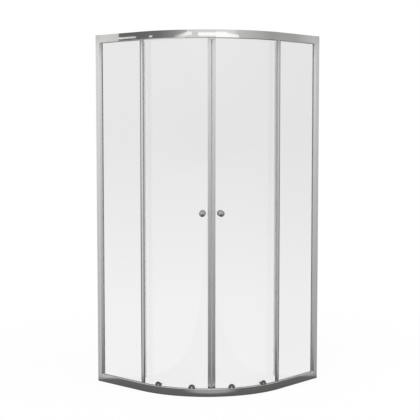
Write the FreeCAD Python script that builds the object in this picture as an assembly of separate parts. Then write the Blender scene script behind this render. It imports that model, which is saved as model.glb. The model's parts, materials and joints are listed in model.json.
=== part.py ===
import FreeCAD, Part
import math
import os

from FreeCAD import Vector

# Quadrant corner shower enclosure: two flat fixed panes and two curved sliding doors.
# Millimetres, +Z up, origin at the middle of the footprint on the floor.
# The room corner is at (-HALF, +HALF). Depth means the distance inwards from the outer face.

# Overall size
SIDE = 887.0
HEIGHT = 1950.0
CORNER_RADIUS = 537.0

# Rail extrusion
RAIL_HEIGHT = 42.0
RAIL_WALL = 2.0
RAIL_CROWN = 1.5
RAIL_SLOT_DEPTH = 14.0
LEDGE_DROP = 18.0
LEDGE_THICKNESS = 2.0
TRACK_LANE = 18.7
TRACK_RIB = 2.0
TRACK_RIB_HEIGHT = 2.0
LIP_HEIGHT = 8.0

# Glass
GLASS = 5.0
GLASS_SETBACK = 12.0
SLOT_GAP = 1.3
DOOR_GAP = 1.5
LIP_GAP = 2.5
DOOR_TOP_GAP = 12.0
DOOR_BOTTOM_GAP = 14.0
DOOR_OVERLAP = 20.0
DOOR_LEAD = 7.0
GLASS_HOLE_RADIUS = 5.0

# Wall channel and side jamb
CHANNEL_WALL = 2.0
CHANNEL_LIP = 12.5
CHANNEL_INNER_FLANGE = 24.5
CHANNEL_PLAY = 0.5
JAMB_FACE = 25.5
JAMB_DEPTH = 21.5
JAMB_WALL = 2.0
JAMB_TONGUE = 5.5
JAMB_SLOT_DEPTH = 10.0
JAMB_ROUND = 1.0
JAMB_BEVEL = 8.0
JAMB_LIP = 2.2
JOINT_LINE = 0.5
CAP_THICKNESS = 3.0
CAP_PLUG = 12.0
PLUG_PLAY = 0.3
WALL_HOLE_RADIUS = 2.5
WALL_HOLE_DEPTH = 12.0
WALL_HOLE_COUNT = 4
SCREW_ROW_END = 150.0

# Fixed stile and its lip seal
STILE_WIDTH = 25.0
STILE_BACK_FROM_BEND = 8.0
STILE_SETBACK = 3.0
STILE_CROWN = 0.4
STILE_BEVEL = 13.0
STILE_LIP = 2.2
STILE_WALL = 2.0
STILE_SLOT_DEPTH = 10.0
STILE_CHAMFER = 6.0
SEAL_CLEARANCE = 0.6
SEAL_THICKNESS = 1.4
SEAL_SWEEP = 7.0
SEAL_BOW = 2.4
SEAL_ROOT_WIDTH = 5.0
SEAL_ROOT_DEPTH = 2.0
SEAL_END_GAP = 6.0

# Glazing gasket
GASKET_LIP = 0.7
GASKET_EDGE = 1.7
GASKET_SEAT = 0.3
GASKET_SHOW = 2.5

# Rail connectors, screws and track ends
CONNECTOR_LENGTH = 30.0
CONNECTOR_PLAY = 0.3
SCREW_RADIUS = 1.75
SCREW_CLEARANCE = 0.25
SCREW_HEAD_RADIUS = 3.2
SCREW_HEAD_HEIGHT = 2.0
SCREW_EDGE = 9.0
CORNER_SCREW_LENGTH = 22.0
JAMB_SCREW_LENGTH = 8.0
JAMB_SCREW_INSET = 18.5
JAMB_SCREW_COUNT = 3
COVER_RADIUS = 5.5
COVER_HEIGHT = 4.3
COVER_WALL = 0.8
COVER_CROWN = 1.2
END_CAP_PLATE = 2.5
END_CAP_PLUG = 10.0
STOP_LENGTH = 12.0
STOP_HEIGHT = 11.0
STOP_GAP = 1.0

# Rollers
DOOR_TRAVEL = 23.0
ROLLER_LEAD_ANGLE = 12.1
ROLLER_TRAIL_ANGLE = 34.0
TOP_WHEEL_RADIUS = 10.0
BOTTOM_WHEEL_RADIUS = 18.5
WHEEL_WIDTH = 4.5
WHEEL_ROUND = 0.6
WHEEL_SIDE_GAP = 0.9
ROLL_GAP = 0.3
WHEEL_DISH = 0.9
WHEEL_RIM = 2.6
AXLE_RADIUS = 2.5
AXLE_PLAY = 0.08
AXLE_HEAD_RADIUS = 5.0
AXLE_HEAD_HEIGHT = 1.7
HEAD_POCKET_PLAY = 0.4
COLLAR_RADIUS = 5.8
COLLAR_GAP = 0.5
STUD_RADIUS = 3.0
STUD_PLAY = 0.2
WASHER = 1.0
WASHER_RADIUS = 7.0
CAP_NUT_RADIUS = 6.5
CAP_NUT_HEIGHT = 6.5
CAP_NUT_CROWN = 1.6
CAP_NUT_BORE = 4.5

# Knobs
KNOB_ANGLE = 5.7
KNOB_LEVEL = 983.0
KNOB_RADIUS = 17.5
KNOB_HEIGHT = 28.0
KNOB_BASE_RADIUS = 10.5
KNOB_BASE_HEIGHT = 3.0
KNOB_NECK_RADIUS = 7.0
KNOB_CROWN = 9.0
KNOB_RIM = 4.0
KNOB_BOLT_RADIUS = 2.5
KNOB_BOLT_GRIP = 11.0
KNOB_BOLT_PLAY = 0.2

# Door edge profiles and seals
MEETING_GAP = 0.3
MAGNET_WIDTH = 2.0
MAGNET_DEPTH = 8.0
MAGNET_ROOT = 2.7
MAGNET_ROOT_DEPTH = 2.8
MEETING_WIDTH = 18.0
MEETING_WALL = 2.2
MEETING_ROUND = 2.0
MEETING_END_GAP = 2.0
GRIP = 0.15
TRAIL_WIDTH = 10.0
TRAIL_WALL = 1.0
TRAIL_FIN = 14.0
TRAIL_FIN_THICKNESS = 1.2
DRIP_WALL = 0.9
DRIP_LEG = 9.0
DRIP_FIN = 3.2

# Values that follow from the sizes above
HALF = SIDE / 2
TANGENT = CORNER_RADIUS - HALF
CENTRE = Vector(-TANGENT, TANGENT, 0)
BISECTOR = -45.0
SLOT_OUT = GLASS_SETBACK - SLOT_GAP
SLOT_IN = GLASS_SETBACK + GLASS + SLOT_GAP
SCREW_DEPTH = SLOT_OUT / 2
WEB_IN = SLOT_IN + RAIL_WALL
RIB_OUT = WEB_IN + TRACK_LANE
RIB_IN = RIB_OUT + TRACK_RIB
DOOR_OUT = RIB_IN + DOOR_GAP
DOOR_IN = DOOR_OUT + GLASS
LIP_OUT = DOOR_IN + LIP_GAP
RAIL_DEPTH = LIP_OUT + RAIL_WALL
SLOT_FLOOR = RAIL_HEIGHT - RAIL_SLOT_DEPTH
RAIL_END = HALF - CHANNEL_LIP - JOINT_LINE - JAMB_FACE
CHANNEL_DEPTH = JAMB_DEPTH + CHANNEL_PLAY + CHANNEL_WALL
JAMB_LENGTH = JAMB_FACE + JAMB_TONGUE
JAMB_TOP = HEIGHT - CAP_THICKNESS
STILE_IN = SLOT_IN + RAIL_WALL
STILE_NEAR = TANGENT + STILE_BACK_FROM_BEND
STILE_FAR = STILE_NEAR - STILE_WIDTH
DOOR_RADIUS = CORNER_RADIUS - DOOR_OUT
DOOR_END_ANGLE = -BISECTOR + math.degrees(DOOR_OVERLAP / DOOR_RADIUS)
DOOR_LEAD_ANGLE = math.degrees(DOOR_LEAD / DOOR_RADIUS)
DOOR_BOTTOM = DOOR_BOTTOM_GAP
DOOR_TOP = HEIGHT - DOOR_TOP_GAP
BOTTOM_LEDGE = RAIL_HEIGHT - LEDGE_DROP
TOP_LEDGE = HEIGHT - RAIL_HEIGHT + LEDGE_THICKNESS
BOTTOM_AXLE = BOTTOM_LEDGE + ROLL_GAP + BOTTOM_WHEEL_RADIUS
TOP_AXLE = TOP_LEDGE + ROLL_GAP + TOP_WHEEL_RADIUS
WHEEL_OUT = WEB_IN + WHEEL_SIDE_GAP
HEAD_POCKET = AXLE_HEAD_HEIGHT + HEAD_POCKET_PLAY
KNOB_FOOT = DOOR_OUT - WASHER
ROLLER_ANGLES = {"lead": ROLLER_LEAD_ANGLE, "trail": ROLLER_TRAIL_ANGLE}


def section(place, start, *steps):
    """Face inside a closed outline of straight runs (end) and arcs (through, end)."""
    edges = []
    last = start
    for step in steps + (start,):
        if isinstance(step[0], tuple):
            through, end = step
            edges.append(Part.Arc(place(*last), place(*through), place(*end)).toShape())
        else:
            end = step
            if end != last:
                edges.append(Part.makeLine(place(*last), place(*end)))
        last = end
    return Part.Face(Part.Wire(edges))


def corner_arc(centre, radius, middle_degrees, end):
    """Step for section(): a round corner about centre that passes its middle angle."""
    middle = math.radians(middle_degrees)
    through = (centre[0] + radius * math.cos(middle), centre[1] + radius * math.sin(middle))
    return through, end


def rounded_box(place, low, high, radius):
    """Face of a rectangle from low to high with four round corners."""
    a0, b0 = low
    a1, b1 = high
    return section(
        place,
        (a0 + radius, b0),
        (a1 - radius, b0),
        corner_arc((a1 - radius, b0 + radius), radius, -45, (a1, b0 + radius)),
        (a1, b1 - radius),
        corner_arc((a1 - radius, b1 - radius), radius, 45, (a1 - radius, b1)),
        (a0 + radius, b1),
        corner_arc((a0 + radius, b1 - radius), radius, 135, (a0, b1 - radius)),
        (a0, b0 + radius),
        corner_arc((a0 + radius, b0 + radius), radius, 225, (a0 + radius, b0)),
    )


def box(place, low, high):
    """Face of a plain rectangle from low to high."""
    return section(place, low, (high[0], low[1]), high, (low[0], high[1]))


def leg_plan(level):
    """Plan of the right-hand leg: (depth, distance along Y) at a level."""
    return lambda depth, along: Vector(HALF - depth, along, level)


def leg_section(along):
    """Upright section across the right-hand leg: (depth, level) at a distance along Y."""
    return lambda depth, level: Vector(HALF - depth, along, level)


def radial_direction(angle):
    """Outward direction at an angle from the doors' meeting plane, on the right-hand door."""
    turn = math.radians(BISECTOR + angle)
    return Vector(math.cos(turn), math.sin(turn), 0)


def door_plan(angle, level):
    """Plan on the right-hand door: (distance past the angle, depth) at a level."""
    outward = radial_direction(angle)
    past = Vector(-outward.y, outward.x, 0)

    def place(along, depth):
        point = CENTRE + outward * (CORNER_RADIUS - depth) + past * along
        return Vector(point.x, point.y, level)

    return place


def upright(face, height):
    """Solid that a plan face sweeps straight up."""
    return face.extrude(Vector(0, 0, height))


def along_leg(face, length):
    """Solid that an upright section sweeps along the right-hand leg."""
    return face.extrude(Vector(0, length, 0))


def door_sweep(low, high, start_angle, end_angle):
    """Curved solid of a (depth, level) rectangle swept round the doors' arc axis."""
    face = box(leg_section(TANGENT), low, high)
    axis = Vector(0, 0, 1)
    face.rotate(CENTRE, axis, BISECTOR + start_angle)
    return face.revolve(CENTRE, axis, end_angle - start_angle)


def dome(rim_radius, rim_height, apex_height):
    """Step for turned(): a spherical cap from its rim up to its apex on the axis."""
    rise = apex_height - rim_height
    ball = (rim_radius ** 2 + rise ** 2) / (2 * rise)
    half_turn = math.asin(rim_radius / ball) / 2
    drop = ball * (1 - math.cos(half_turn))
    return (ball * math.sin(half_turn), apex_height - drop), (0, apex_height)


def turned(start, *steps):
    """Solid of revolution about Z from a half outline of (radius, height) points."""
    face = section(lambda radius, height: Vector(radius, 0, height), start, *steps)
    return face.revolve(Vector(0, 0, 0), Vector(0, 0, 1), 360)


def on_door(shape, angle, depth, level, inwards=False):
    """Place a turned shape so that its height runs out of the door, or into the cabin."""
    outward = radial_direction(angle)
    point = CENTRE + outward * (CORNER_RADIUS - depth)
    heading = outward * -1 if inwards else outward
    placed = shape.copy()
    turn = FreeCAD.Rotation(Vector(0, 0, 1), heading)
    placed.Placement = FreeCAD.Placement(Vector(point.x, point.y, level), turn)
    return placed


def mirrored(shape):
    """The same piece on the left-hand side, across the plane where the doors meet."""
    return shape.mirror(Vector(0, 0, 0), Vector(1, 1, 0))


def hole_along_y(radius, depth, low_y, high_y, level):
    """Round cutter along Y through the right-hand leg."""
    start = Vector(HALF - depth, low_y, level)
    return Part.makeCylinder(radius, high_y - low_y, start, Vector(0, 1, 0))


def upside_down(shape):
    """Turn a piece of the bottom rail into one of the top rail."""
    return shape.mirror(Vector(0, 0, HEIGHT / 2), Vector(0, 0, 1))


def rail_chamber(place):
    """Hollow inside the front of a rail: below the glass slot and in front of it."""
    return section(
        place,
        (RAIL_WALL, RAIL_WALL),
        (SLOT_IN, RAIL_WALL),
        (SLOT_IN, SLOT_FLOOR - RAIL_WALL),
        (SLOT_OUT - RAIL_WALL, SLOT_FLOOR - RAIL_WALL),
        (SLOT_OUT - RAIL_WALL, RAIL_HEIGHT - RAIL_WALL),
        (RAIL_WALL + RAIL_CROWN / 2, RAIL_HEIGHT - RAIL_WALL),
        (RAIL_WALL, RAIL_HEIGHT - RAIL_WALL - RAIL_CROWN / 2),
    )


def rail_section(track):
    """Section of a rail, its closed plate at level 0: fascia, glass slot, web, track and lip."""
    place = leg_section(TANGENT)
    crown_centre = (RAIL_CROWN, RAIL_HEIGHT - RAIL_CROWN)
    outline = section(
        place,
        (0, 0),
        (RAIL_DEPTH, 0),
        (RAIL_DEPTH, LIP_HEIGHT),
        (LIP_OUT, LIP_HEIGHT),
        (LIP_OUT, RAIL_WALL),
        (WEB_IN, RAIL_WALL),
        *track,
        (SLOT_IN, RAIL_HEIGHT),
        (SLOT_IN, SLOT_FLOOR),
        (SLOT_OUT, SLOT_FLOOR),
        (SLOT_OUT, RAIL_HEIGHT),
        (RAIL_CROWN, RAIL_HEIGHT),
        corner_arc(crown_centre, RAIL_CROWN, 135, (0, RAIL_HEIGHT - RAIL_CROWN)),
    )
    return outline.cut(rail_chamber(place))


def bottom_track():
    """Roller ledge part way up the bottom rail, with its rib standing up."""
    low = BOTTOM_LEDGE - LEDGE_THICKNESS
    rib = BOTTOM_LEDGE + TRACK_RIB_HEIGHT
    return [
        (WEB_IN, low),
        (RIB_IN, low),
        (RIB_IN, rib),
        (RIB_OUT, rib),
        (RIB_OUT, BOTTOM_LEDGE),
        (WEB_IN, BOTTOM_LEDGE),
        (WEB_IN, RAIL_HEIGHT),
    ]


def top_track():
    """Roller ledge at the top rail's lower edge: its rib points back at the closed plate."""
    upper = RAIL_HEIGHT - LEDGE_THICKNESS
    rib = upper - TRACK_RIB_HEIGHT
    return [
        (WEB_IN, upper),
        (RIB_OUT, upper),
        (RIB_OUT, rib),
        (RIB_IN, rib),
        (RIB_IN, RAIL_HEIGHT),
    ]


def bent_rail(track):
    """One bent length of rail: a leg, a quarter round about the arc axis, and a leg."""
    face = rail_section(track)
    leg = along_leg(face, RAIL_END - TANGENT)
    bend = face.revolve(CENTRE, Vector(0, 0, 1), 2 * BISECTOR)
    return leg.fuse([bend, mirrored(leg)]).removeSplitter()


def bottom_rail():
    return bent_rail(bottom_track())


def top_rail():
    return upside_down(bent_rail(top_track()))


def even_levels(count):
    """Levels of an upright row of screws, evenly spaced and as far from both ends."""
    pitch = (HEIGHT - 2 * SCREW_ROW_END) / (count - 1)
    return [SCREW_ROW_END + index * pitch for index in range(count)]


def wall_channel():
    """U channel on the wall: a short outer flange and a longer inner one."""
    back = HALF - CHANNEL_WALL
    face = section(
        leg_plan(0),
        (0, HALF),
        (CHANNEL_DEPTH, HALF),
        (CHANNEL_DEPTH, HALF - CHANNEL_INNER_FLANGE),
        (CHANNEL_DEPTH - CHANNEL_WALL, HALF - CHANNEL_INNER_FLANGE),
        (CHANNEL_DEPTH - CHANNEL_WALL, back),
        (CHANNEL_WALL, back),
        (CHANNEL_WALL, HALF - CHANNEL_LIP),
        (0, HALF - CHANNEL_LIP),
    )
    shape = upright(face, JAMB_TOP)
    for level in even_levels(WALL_HOLE_COUNT):
        shape = shape.cut(hole_along_y(WALL_HOLE_RADIUS, WALL_HOLE_DEPTH, back, HALF, level))
    for level in even_levels(JAMB_SCREW_COUNT):
        shape = shape.cut(jamb_screw_hole(level))
    return shape


def jamb_screw_hole(level):
    """Clearance hole across the channel's inner flange and the jamb's inner wall."""
    start = Vector(HALF - CHANNEL_DEPTH, HALF - JAMB_SCREW_INSET, level)
    radius = SCREW_RADIUS + SCREW_CLEARANCE
    length = CHANNEL_WALL + CHANNEL_PLAY + JAMB_WALL
    return Part.makeCylinder(radius, length, start, Vector(1, 0, 0))


def jamb_hollow(level, near):
    """Plan of the hollow inside a side jamb: beside the glass slot, from near on, and behind it."""
    wall = JAMB_WALL
    slot_wall = SLOT_OUT - wall
    step = CHANNEL_WALL + JOINT_LINE
    return section(
        leg_plan(level),
        (wall, near),
        (wall, RAIL_END + JAMB_FACE - wall),
        (step + wall, RAIL_END + JAMB_FACE - wall),
        (step + wall, RAIL_END + JAMB_LENGTH - wall),
        (JAMB_DEPTH - wall, RAIL_END + JAMB_LENGTH - wall),
        (JAMB_DEPTH - wall, RAIL_END + JAMB_SLOT_DEPTH + wall),
        (slot_wall, RAIL_END + JAMB_SLOT_DEPTH + wall),
        (slot_wall, near),
    )


def jamb_plan(level, nose, hollow_near):
    """Plan of a side jamb: its nose beside the glass, flush face, tongue and glass slot."""
    face_end = RAIL_END + JAMB_FACE
    tongue_end = RAIL_END + JAMB_LENGTH
    step = CHANNEL_WALL + JOINT_LINE
    outline = section(
        leg_plan(level),
        *nose,
        (0, face_end),
        (step, face_end),
        (step, tongue_end),
        (JAMB_DEPTH, tongue_end),
        (JAMB_DEPTH, RAIL_END),
        (SLOT_IN, RAIL_END),
        (SLOT_IN, RAIL_END + JAMB_SLOT_DEPTH),
        (SLOT_OUT, RAIL_END + JAMB_SLOT_DEPTH),
        (SLOT_OUT, RAIL_END),
    )
    return outline.cut(jamb_hollow(level, hollow_near))


def side_jamb():
    """Hollow upright beside the wall, square where the rails meet it and bevelled between them."""
    round_centre = (JAMB_ROUND, RAIL_END + JAMB_ROUND)
    square = [
        (JAMB_ROUND, RAIL_END),
        corner_arc(round_centre, JAMB_ROUND, 225, (0, RAIL_END + JAMB_ROUND)),
    ]
    bevelled = [(SLOT_OUT - JAMB_LIP, RAIL_END), (0, RAIL_END + JAMB_BEVEL)]
    near = RAIL_END + JAMB_WALL
    rail_foot = HEIGHT - RAIL_HEIGHT
    lower = upright(jamb_plan(0, square, near), RAIL_HEIGHT)
    middle = upright(jamb_plan(RAIL_HEIGHT, bevelled, near + JAMB_BEVEL), rail_foot - RAIL_HEIGHT)
    upper = upright(jamb_plan(rail_foot, square, near), JAMB_TOP - rail_foot)
    shape = lower.fuse([middle, upper]).removeSplitter()
    for level in corner_screw_levels():
        radius = SCREW_RADIUS + SCREW_CLEARANCE
        cutter = hole_along_y(radius, SCREW_DEPTH, RAIL_END, RAIL_END + JAMB_WALL, level)
        shape = shape.cut(cutter)
    for level in even_levels(JAMB_SCREW_COUNT):
        shape = shape.cut(jamb_screw_hole(level))
    return shape


def jamb_cap():
    """Moulded cap over a jamb and its channel, with a plug in the hollow behind the slot."""
    plate = upright(box(leg_plan(JAMB_TOP), (0, RAIL_END), (CHANNEL_DEPTH, HALF)), CAP_THICKNESS)
    inset = JAMB_WALL + PLUG_PLAY
    low = (CHANNEL_WALL + JOINT_LINE + inset, RAIL_END + JAMB_SLOT_DEPTH + inset)
    high = (JAMB_DEPTH - inset, RAIL_END + JAMB_LENGTH - inset)
    plug = upright(box(leg_plan(JAMB_TOP - CAP_PLUG), low, high), CAP_PLUG)
    return plate.fuse(plug).removeSplitter()


def fixed_stile():
    """Hollow upright at the open end of a fixed pane: a crowned face and a bevel to the glass."""
    crest = STILE_NEAR - STILE_BEVEL
    middle = (crest + STILE_FAR) / 2
    edge = STILE_SETBACK + STILE_CROWN
    root_middle = seal_root()
    root_low = root_middle - SEAL_ROOT_WIDTH / 2
    root_high = root_middle + SEAL_ROOT_WIDTH / 2
    outline = section(
        leg_plan(RAIL_HEIGHT),
        (SLOT_OUT - STILE_LIP, STILE_NEAR),
        (edge, crest),
        ((STILE_SETBACK, middle), (edge, STILE_FAR)),
        (STILE_IN - STILE_CHAMFER, STILE_FAR),
        (STILE_IN, STILE_FAR + STILE_CHAMFER),
        (STILE_IN, root_low),
        (STILE_IN - SEAL_ROOT_DEPTH, root_low),
        (STILE_IN - SEAL_ROOT_DEPTH, root_high),
        (STILE_IN, root_high),
        (STILE_IN, STILE_NEAR),
        (SLOT_IN, STILE_NEAR),
        (SLOT_IN, STILE_NEAR - STILE_SLOT_DEPTH),
        (SLOT_OUT, STILE_NEAR - STILE_SLOT_DEPTH),
        (SLOT_OUT, STILE_NEAR),
    )
    hollow = box(
        leg_plan(RAIL_HEIGHT),
        (edge + STILE_WALL, STILE_FAR + STILE_WALL),
        (STILE_IN - STILE_CHAMFER, STILE_NEAR - STILE_SLOT_DEPTH - STILE_WALL),
    )
    return upright(outline.cut(hollow), HEIGHT - 2 * RAIL_HEIGHT)


def seal_root():
    """Place along Y of the lip seal's root in the back of the fixed stile."""
    return STILE_FAR + STILE_CHAMFER + STILE_WALL + SEAL_ROOT_WIDTH / 2


def stile_seal():
    """Lip seal: a root in the stile's groove and a curved lip that ends just off the door."""
    low = RAIL_HEIGHT + bottom_roller_room()
    height = HEIGHT - RAIL_HEIGHT - SEAL_END_GAP - low
    middle = seal_root()
    half_root = SEAL_ROOT_WIDTH / 2 - GRIP
    tip = DOOR_OUT - SEAL_CLEARANCE
    root_back = STILE_IN - SEAL_ROOT_DEPTH + GRIP
    bow = (STILE_IN + tip) / 2
    inner = middle - SEAL_THICKNESS / 2
    outer = middle + SEAL_THICKNESS / 2
    face = section(
        leg_plan(low),
        (root_back, middle - half_root),
        (STILE_IN, middle - half_root),
        (STILE_IN, inner),
        ((bow, inner + SEAL_BOW), (tip, inner + SEAL_SWEEP)),
        (tip, outer + SEAL_SWEEP),
        ((bow, outer + SEAL_BOW), (STILE_IN, outer)),
        (STILE_IN, middle + half_root),
        (root_back, middle + half_root),
    )
    return upright(face, height)


def bottom_roller_room():
    """Height over the bottom rail that the bottom wheels and their axles pass through."""
    return BOTTOM_AXLE + BOTTOM_WHEEL_RADIUS - RAIL_HEIGHT + SEAL_END_GAP


def fixed_pane_bounds():
    """Edges of a fixed pane: low and high along Y, low and high level."""
    low = STILE_NEAR - STILE_SLOT_DEPTH + GASKET_SEAT + GASKET_EDGE
    high = RAIL_END + JAMB_SLOT_DEPTH - GASKET_SEAT - GASKET_EDGE
    bottom = SLOT_FLOOR + GASKET_SEAT + GASKET_EDGE
    return low, high, bottom, HEIGHT - bottom


def fixed_glass():
    low, high, bottom, top = fixed_pane_bounds()
    face = box(leg_plan(bottom), (GLASS_SETBACK, low), (GLASS_SETBACK + GLASS, high))
    return upright(face, top - bottom)


def glazing_gasket():
    """Channel section gasket round all four edges of a fixed pane."""
    low, high, bottom, top = fixed_pane_bounds()
    front = GLASS_SETBACK - GASKET_LIP
    back = GLASS_SETBACK + GLASS + GASKET_LIP
    outer = box(
        leg_plan(bottom - GASKET_EDGE),
        (front, low - GASKET_EDGE),
        (back, high + GASKET_EDGE),
    )
    window = box(
        leg_plan(RAIL_HEIGHT + GASKET_SHOW),
        (0, STILE_NEAR + GASKET_SHOW),
        (RAIL_DEPTH, RAIL_END - GASKET_SHOW),
    )
    body = upright(outer, top - bottom + 2 * GASKET_EDGE)
    opening = upright(window, HEIGHT - 2 * (RAIL_HEIGHT + GASKET_SHOW))
    return body.cut(opening).cut(fixed_glass())


def bottom_screw_levels():
    """Levels of the two corner screws in each end of the bottom rail."""
    return [SCREW_EDGE, RAIL_HEIGHT - SCREW_EDGE]


def corner_screw_levels():
    """Levels of the corner screws at both rails."""
    lower = bottom_screw_levels()
    return lower + [HEIGHT - level for level in lower]


def rail_connector():
    """Block in the end of the bottom rail's front chamber, bored for the corner screws."""
    inset = RAIL_WALL + CONNECTOR_PLAY
    top = RAIL_HEIGHT - RAIL_WALL - RAIL_CROWN / 2 - CONNECTOR_PLAY
    face = box(
        leg_section(RAIL_END - CONNECTOR_LENGTH),
        (inset, inset),
        (SLOT_OUT - inset, top),
    )
    shape = along_leg(face, CONNECTOR_LENGTH)
    radius = SCREW_RADIUS + SCREW_CLEARANCE
    start = RAIL_END - CONNECTOR_LENGTH
    for level in bottom_screw_levels():
        shape = shape.cut(hole_along_y(radius, SCREW_DEPTH, start, RAIL_END, level))
    return shape


def rail_connectors():
    """Four connector blocks, one at each frame corner."""
    bottom = rail_connector()
    right = [bottom, upside_down(bottom)]
    return right + [mirrored(shape) for shape in right]


def pan_screw(length):
    """Pan head screw: head above height 0, shank below it."""
    crown = SCREW_HEAD_HEIGHT / 2
    return turned(
        (0, -length),
        (SCREW_RADIUS / 2, -length),
        (SCREW_RADIUS, SCREW_RADIUS - length),
        (SCREW_RADIUS, 0),
        (SCREW_HEAD_RADIUS, 0),
        (SCREW_HEAD_RADIUS, crown),
        dome(SCREW_HEAD_RADIUS, crown, SCREW_HEAD_HEIGHT),
    )


def corner_screws():
    """Screws through each jamb into the rail connectors, heads inside the jamb."""
    right = []
    for level in corner_screw_levels():
        shape = pan_screw(CORNER_SCREW_LENGTH)
        turn = FreeCAD.Rotation(Vector(0, 0, 1), Vector(0, 1, 0))
        seat = Vector(HALF - SCREW_DEPTH, RAIL_END + JAMB_WALL, level)
        shape.Placement = FreeCAD.Placement(seat, turn)
        right.append(shape)
    return right + [mirrored(shape) for shape in right]


def inside_channel(shape, level):
    """Place a turned shape on the channel's inner face, its height into the cabin."""
    placed = shape.copy()
    turn = FreeCAD.Rotation(Vector(0, 0, 1), Vector(-1, 0, 0))
    seat = Vector(HALF - CHANNEL_DEPTH, HALF - JAMB_SCREW_INSET, level)
    placed.Placement = FreeCAD.Placement(seat, turn)
    return placed


def jamb_screws():
    """Screws through each channel's inner flange into the jamb."""
    screw = pan_screw(JAMB_SCREW_LENGTH)
    right = [inside_channel(screw, level) for level in even_levels(JAMB_SCREW_COUNT)]
    return right + [mirrored(shape) for shape in right]


def screw_cover():
    """Snap cover over a screw head: a thin domed cup."""
    inner = COVER_RADIUS - COVER_WALL
    rim = COVER_HEIGHT - COVER_CROWN
    roof = rim - COVER_WALL
    return turned(
        (inner, 0),
        (COVER_RADIUS, 0),
        (COVER_RADIUS, rim),
        dome(COVER_RADIUS, rim, COVER_HEIGHT),
        (0, roof),
        (inner, roof),
    )


def screw_covers():
    """Snap covers over all the jamb screws."""
    cover = screw_cover()
    right = [inside_channel(cover, level) for level in even_levels(JAMB_SCREW_COUNT)]
    return right + [mirrored(shape) for shape in right]


def track_end_cap(plate_top, ledge_underside):
    """Cap on the bottom rail's open end behind the jamb, plugged in under the ledge."""
    plate_out = CHANNEL_DEPTH + CONNECTOR_PLAY
    plate = along_leg(
        box(leg_section(RAIL_END), (plate_out, 0), (RAIL_DEPTH, plate_top)),
        END_CAP_PLATE,
    )
    plug = along_leg(
        box(
            leg_section(RAIL_END - END_CAP_PLUG),
            (plate_out, RAIL_WALL + CONNECTOR_PLAY),
            (RIB_OUT, ledge_underside - CONNECTOR_PLAY),
        ),
        END_CAP_PLUG,
    )
    return plate.fuse(plug).removeSplitter()


def track_end_caps():
    """Four end caps: the bottom ones end at the rib, the top ones cover the rail's whole height."""
    bottom = track_end_cap(BOTTOM_LEDGE + TRACK_RIB_HEIGHT, BOTTOM_LEDGE - LEDGE_THICKNESS)
    top_plug = RAIL_HEIGHT - LEDGE_THICKNESS - TRACK_RIB_HEIGHT
    top = upside_down(track_end_cap(RAIL_HEIGHT, top_plug))
    return [bottom, top, mirrored(bottom), mirrored(top)]


def stop_start(wheel_radius):
    """Place along Y where a trailing wheel ends its travel against its stop."""
    turn = math.radians(BISECTOR + ROLLER_TRAIL_ANGLE + DOOR_TRAVEL)
    track_radius = CORNER_RADIUS - WHEEL_OUT
    reach = track_radius * math.sin(turn) + wheel_radius * math.cos(turn)
    return TANGENT + reach + STOP_GAP


def track_stop(wheel_radius, ledge):
    """Soft block on a ledge, between the web and the rib."""
    start = stop_start(wheel_radius)
    low = (WEB_IN + CONNECTOR_PLAY, ledge)
    high = (RIB_OUT - CONNECTOR_PLAY, ledge + STOP_HEIGHT)
    return along_leg(box(leg_section(start), low, high), STOP_LENGTH)


def track_stops():
    """Stops for both doors on the bottom and the top ledge."""
    bottom = track_stop(BOTTOM_WHEEL_RADIUS, BOTTOM_LEDGE)
    top = track_stop(TOP_WHEEL_RADIUS, TOP_LEDGE)
    return [bottom, top, mirrored(bottom), mirrored(top)]


def door_pane(margin=0.0):
    """Curved pane of the right-hand door, grown all round by a margin."""
    edge = math.degrees(margin / DOOR_RADIUS)
    return door_sweep(
        (DOOR_OUT - margin, DOOR_BOTTOM - margin),
        (DOOR_IN + margin, DOOR_TOP + margin),
        DOOR_LEAD_ANGLE - edge,
        DOOR_END_ANGLE + edge,
    )


def fitting_places():
    """Angle and level of each hole in a door pane: the knob and the four rollers."""
    levels = (TOP_AXLE, BOTTOM_AXLE)
    rollers = [(angle, level) for angle in ROLLER_ANGLES.values() for level in levels]
    return [(KNOB_ANGLE, KNOB_LEVEL)] + rollers


def door_glass():
    pane = door_pane()
    drill = Part.makeCylinder(GLASS_HOLE_RADIUS, GLASS + 2 * WASHER)
    for angle, level in fitting_places():
        pane = pane.cut(on_door(drill, angle, DOOR_IN + WASHER, level))
    return pane


def meeting_span():
    """Low level and height of the meeting stiles, from over the track rib to under the top rail."""
    low = BOTTOM_LEDGE + TRACK_RIB_HEIGHT + MEETING_END_GAP
    return low, HEIGHT - RAIL_HEIGHT - MEETING_END_GAP - low


def meeting_stile():
    """Upright on a door's leading edge: grips the pane and carries the magnet seal."""
    front = MEETING_GAP + MAGNET_WIDTH
    low, height = meeting_span()
    place = door_plan(0, low)
    outer = DOOR_OUT - GRIP - MEETING_WALL
    inner = DOOR_IN + GRIP + MEETING_WALL
    body = rounded_box(place, (front, outer), (front + MEETING_WIDTH, inner), MEETING_ROUND)
    middle = (DOOR_OUT + DOOR_IN) / 2
    half_groove = MAGNET_ROOT_DEPTH / 2 + GRIP
    groove = box(
        place,
        (front - MAGNET_WIDTH, middle - half_groove),
        (front + MAGNET_ROOT + GRIP, middle + half_groove),
    )
    return upright(body.cut(groove), height).cut(door_pane(GRIP))


def magnet_seal():
    """Soft strip with a magnet, rooted in the meeting stile's groove."""
    front = MEETING_GAP + MAGNET_WIDTH
    low, height = meeting_span()
    place = door_plan(0, low)
    middle = (DOOR_OUT + DOOR_IN) / 2
    half_root = MAGNET_ROOT_DEPTH / 2
    half_face = MAGNET_DEPTH / 2
    face = section(
        place,
        (MEETING_GAP, middle - half_face),
        (front, middle - half_face),
        (front, middle - half_root),
        (front + MAGNET_ROOT, middle - half_root),
        (front + MAGNET_ROOT, middle + half_root),
        (front, middle + half_root),
        (front, middle + half_face),
        (MEETING_GAP, middle + half_face),
    )
    return upright(face, height)


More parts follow.
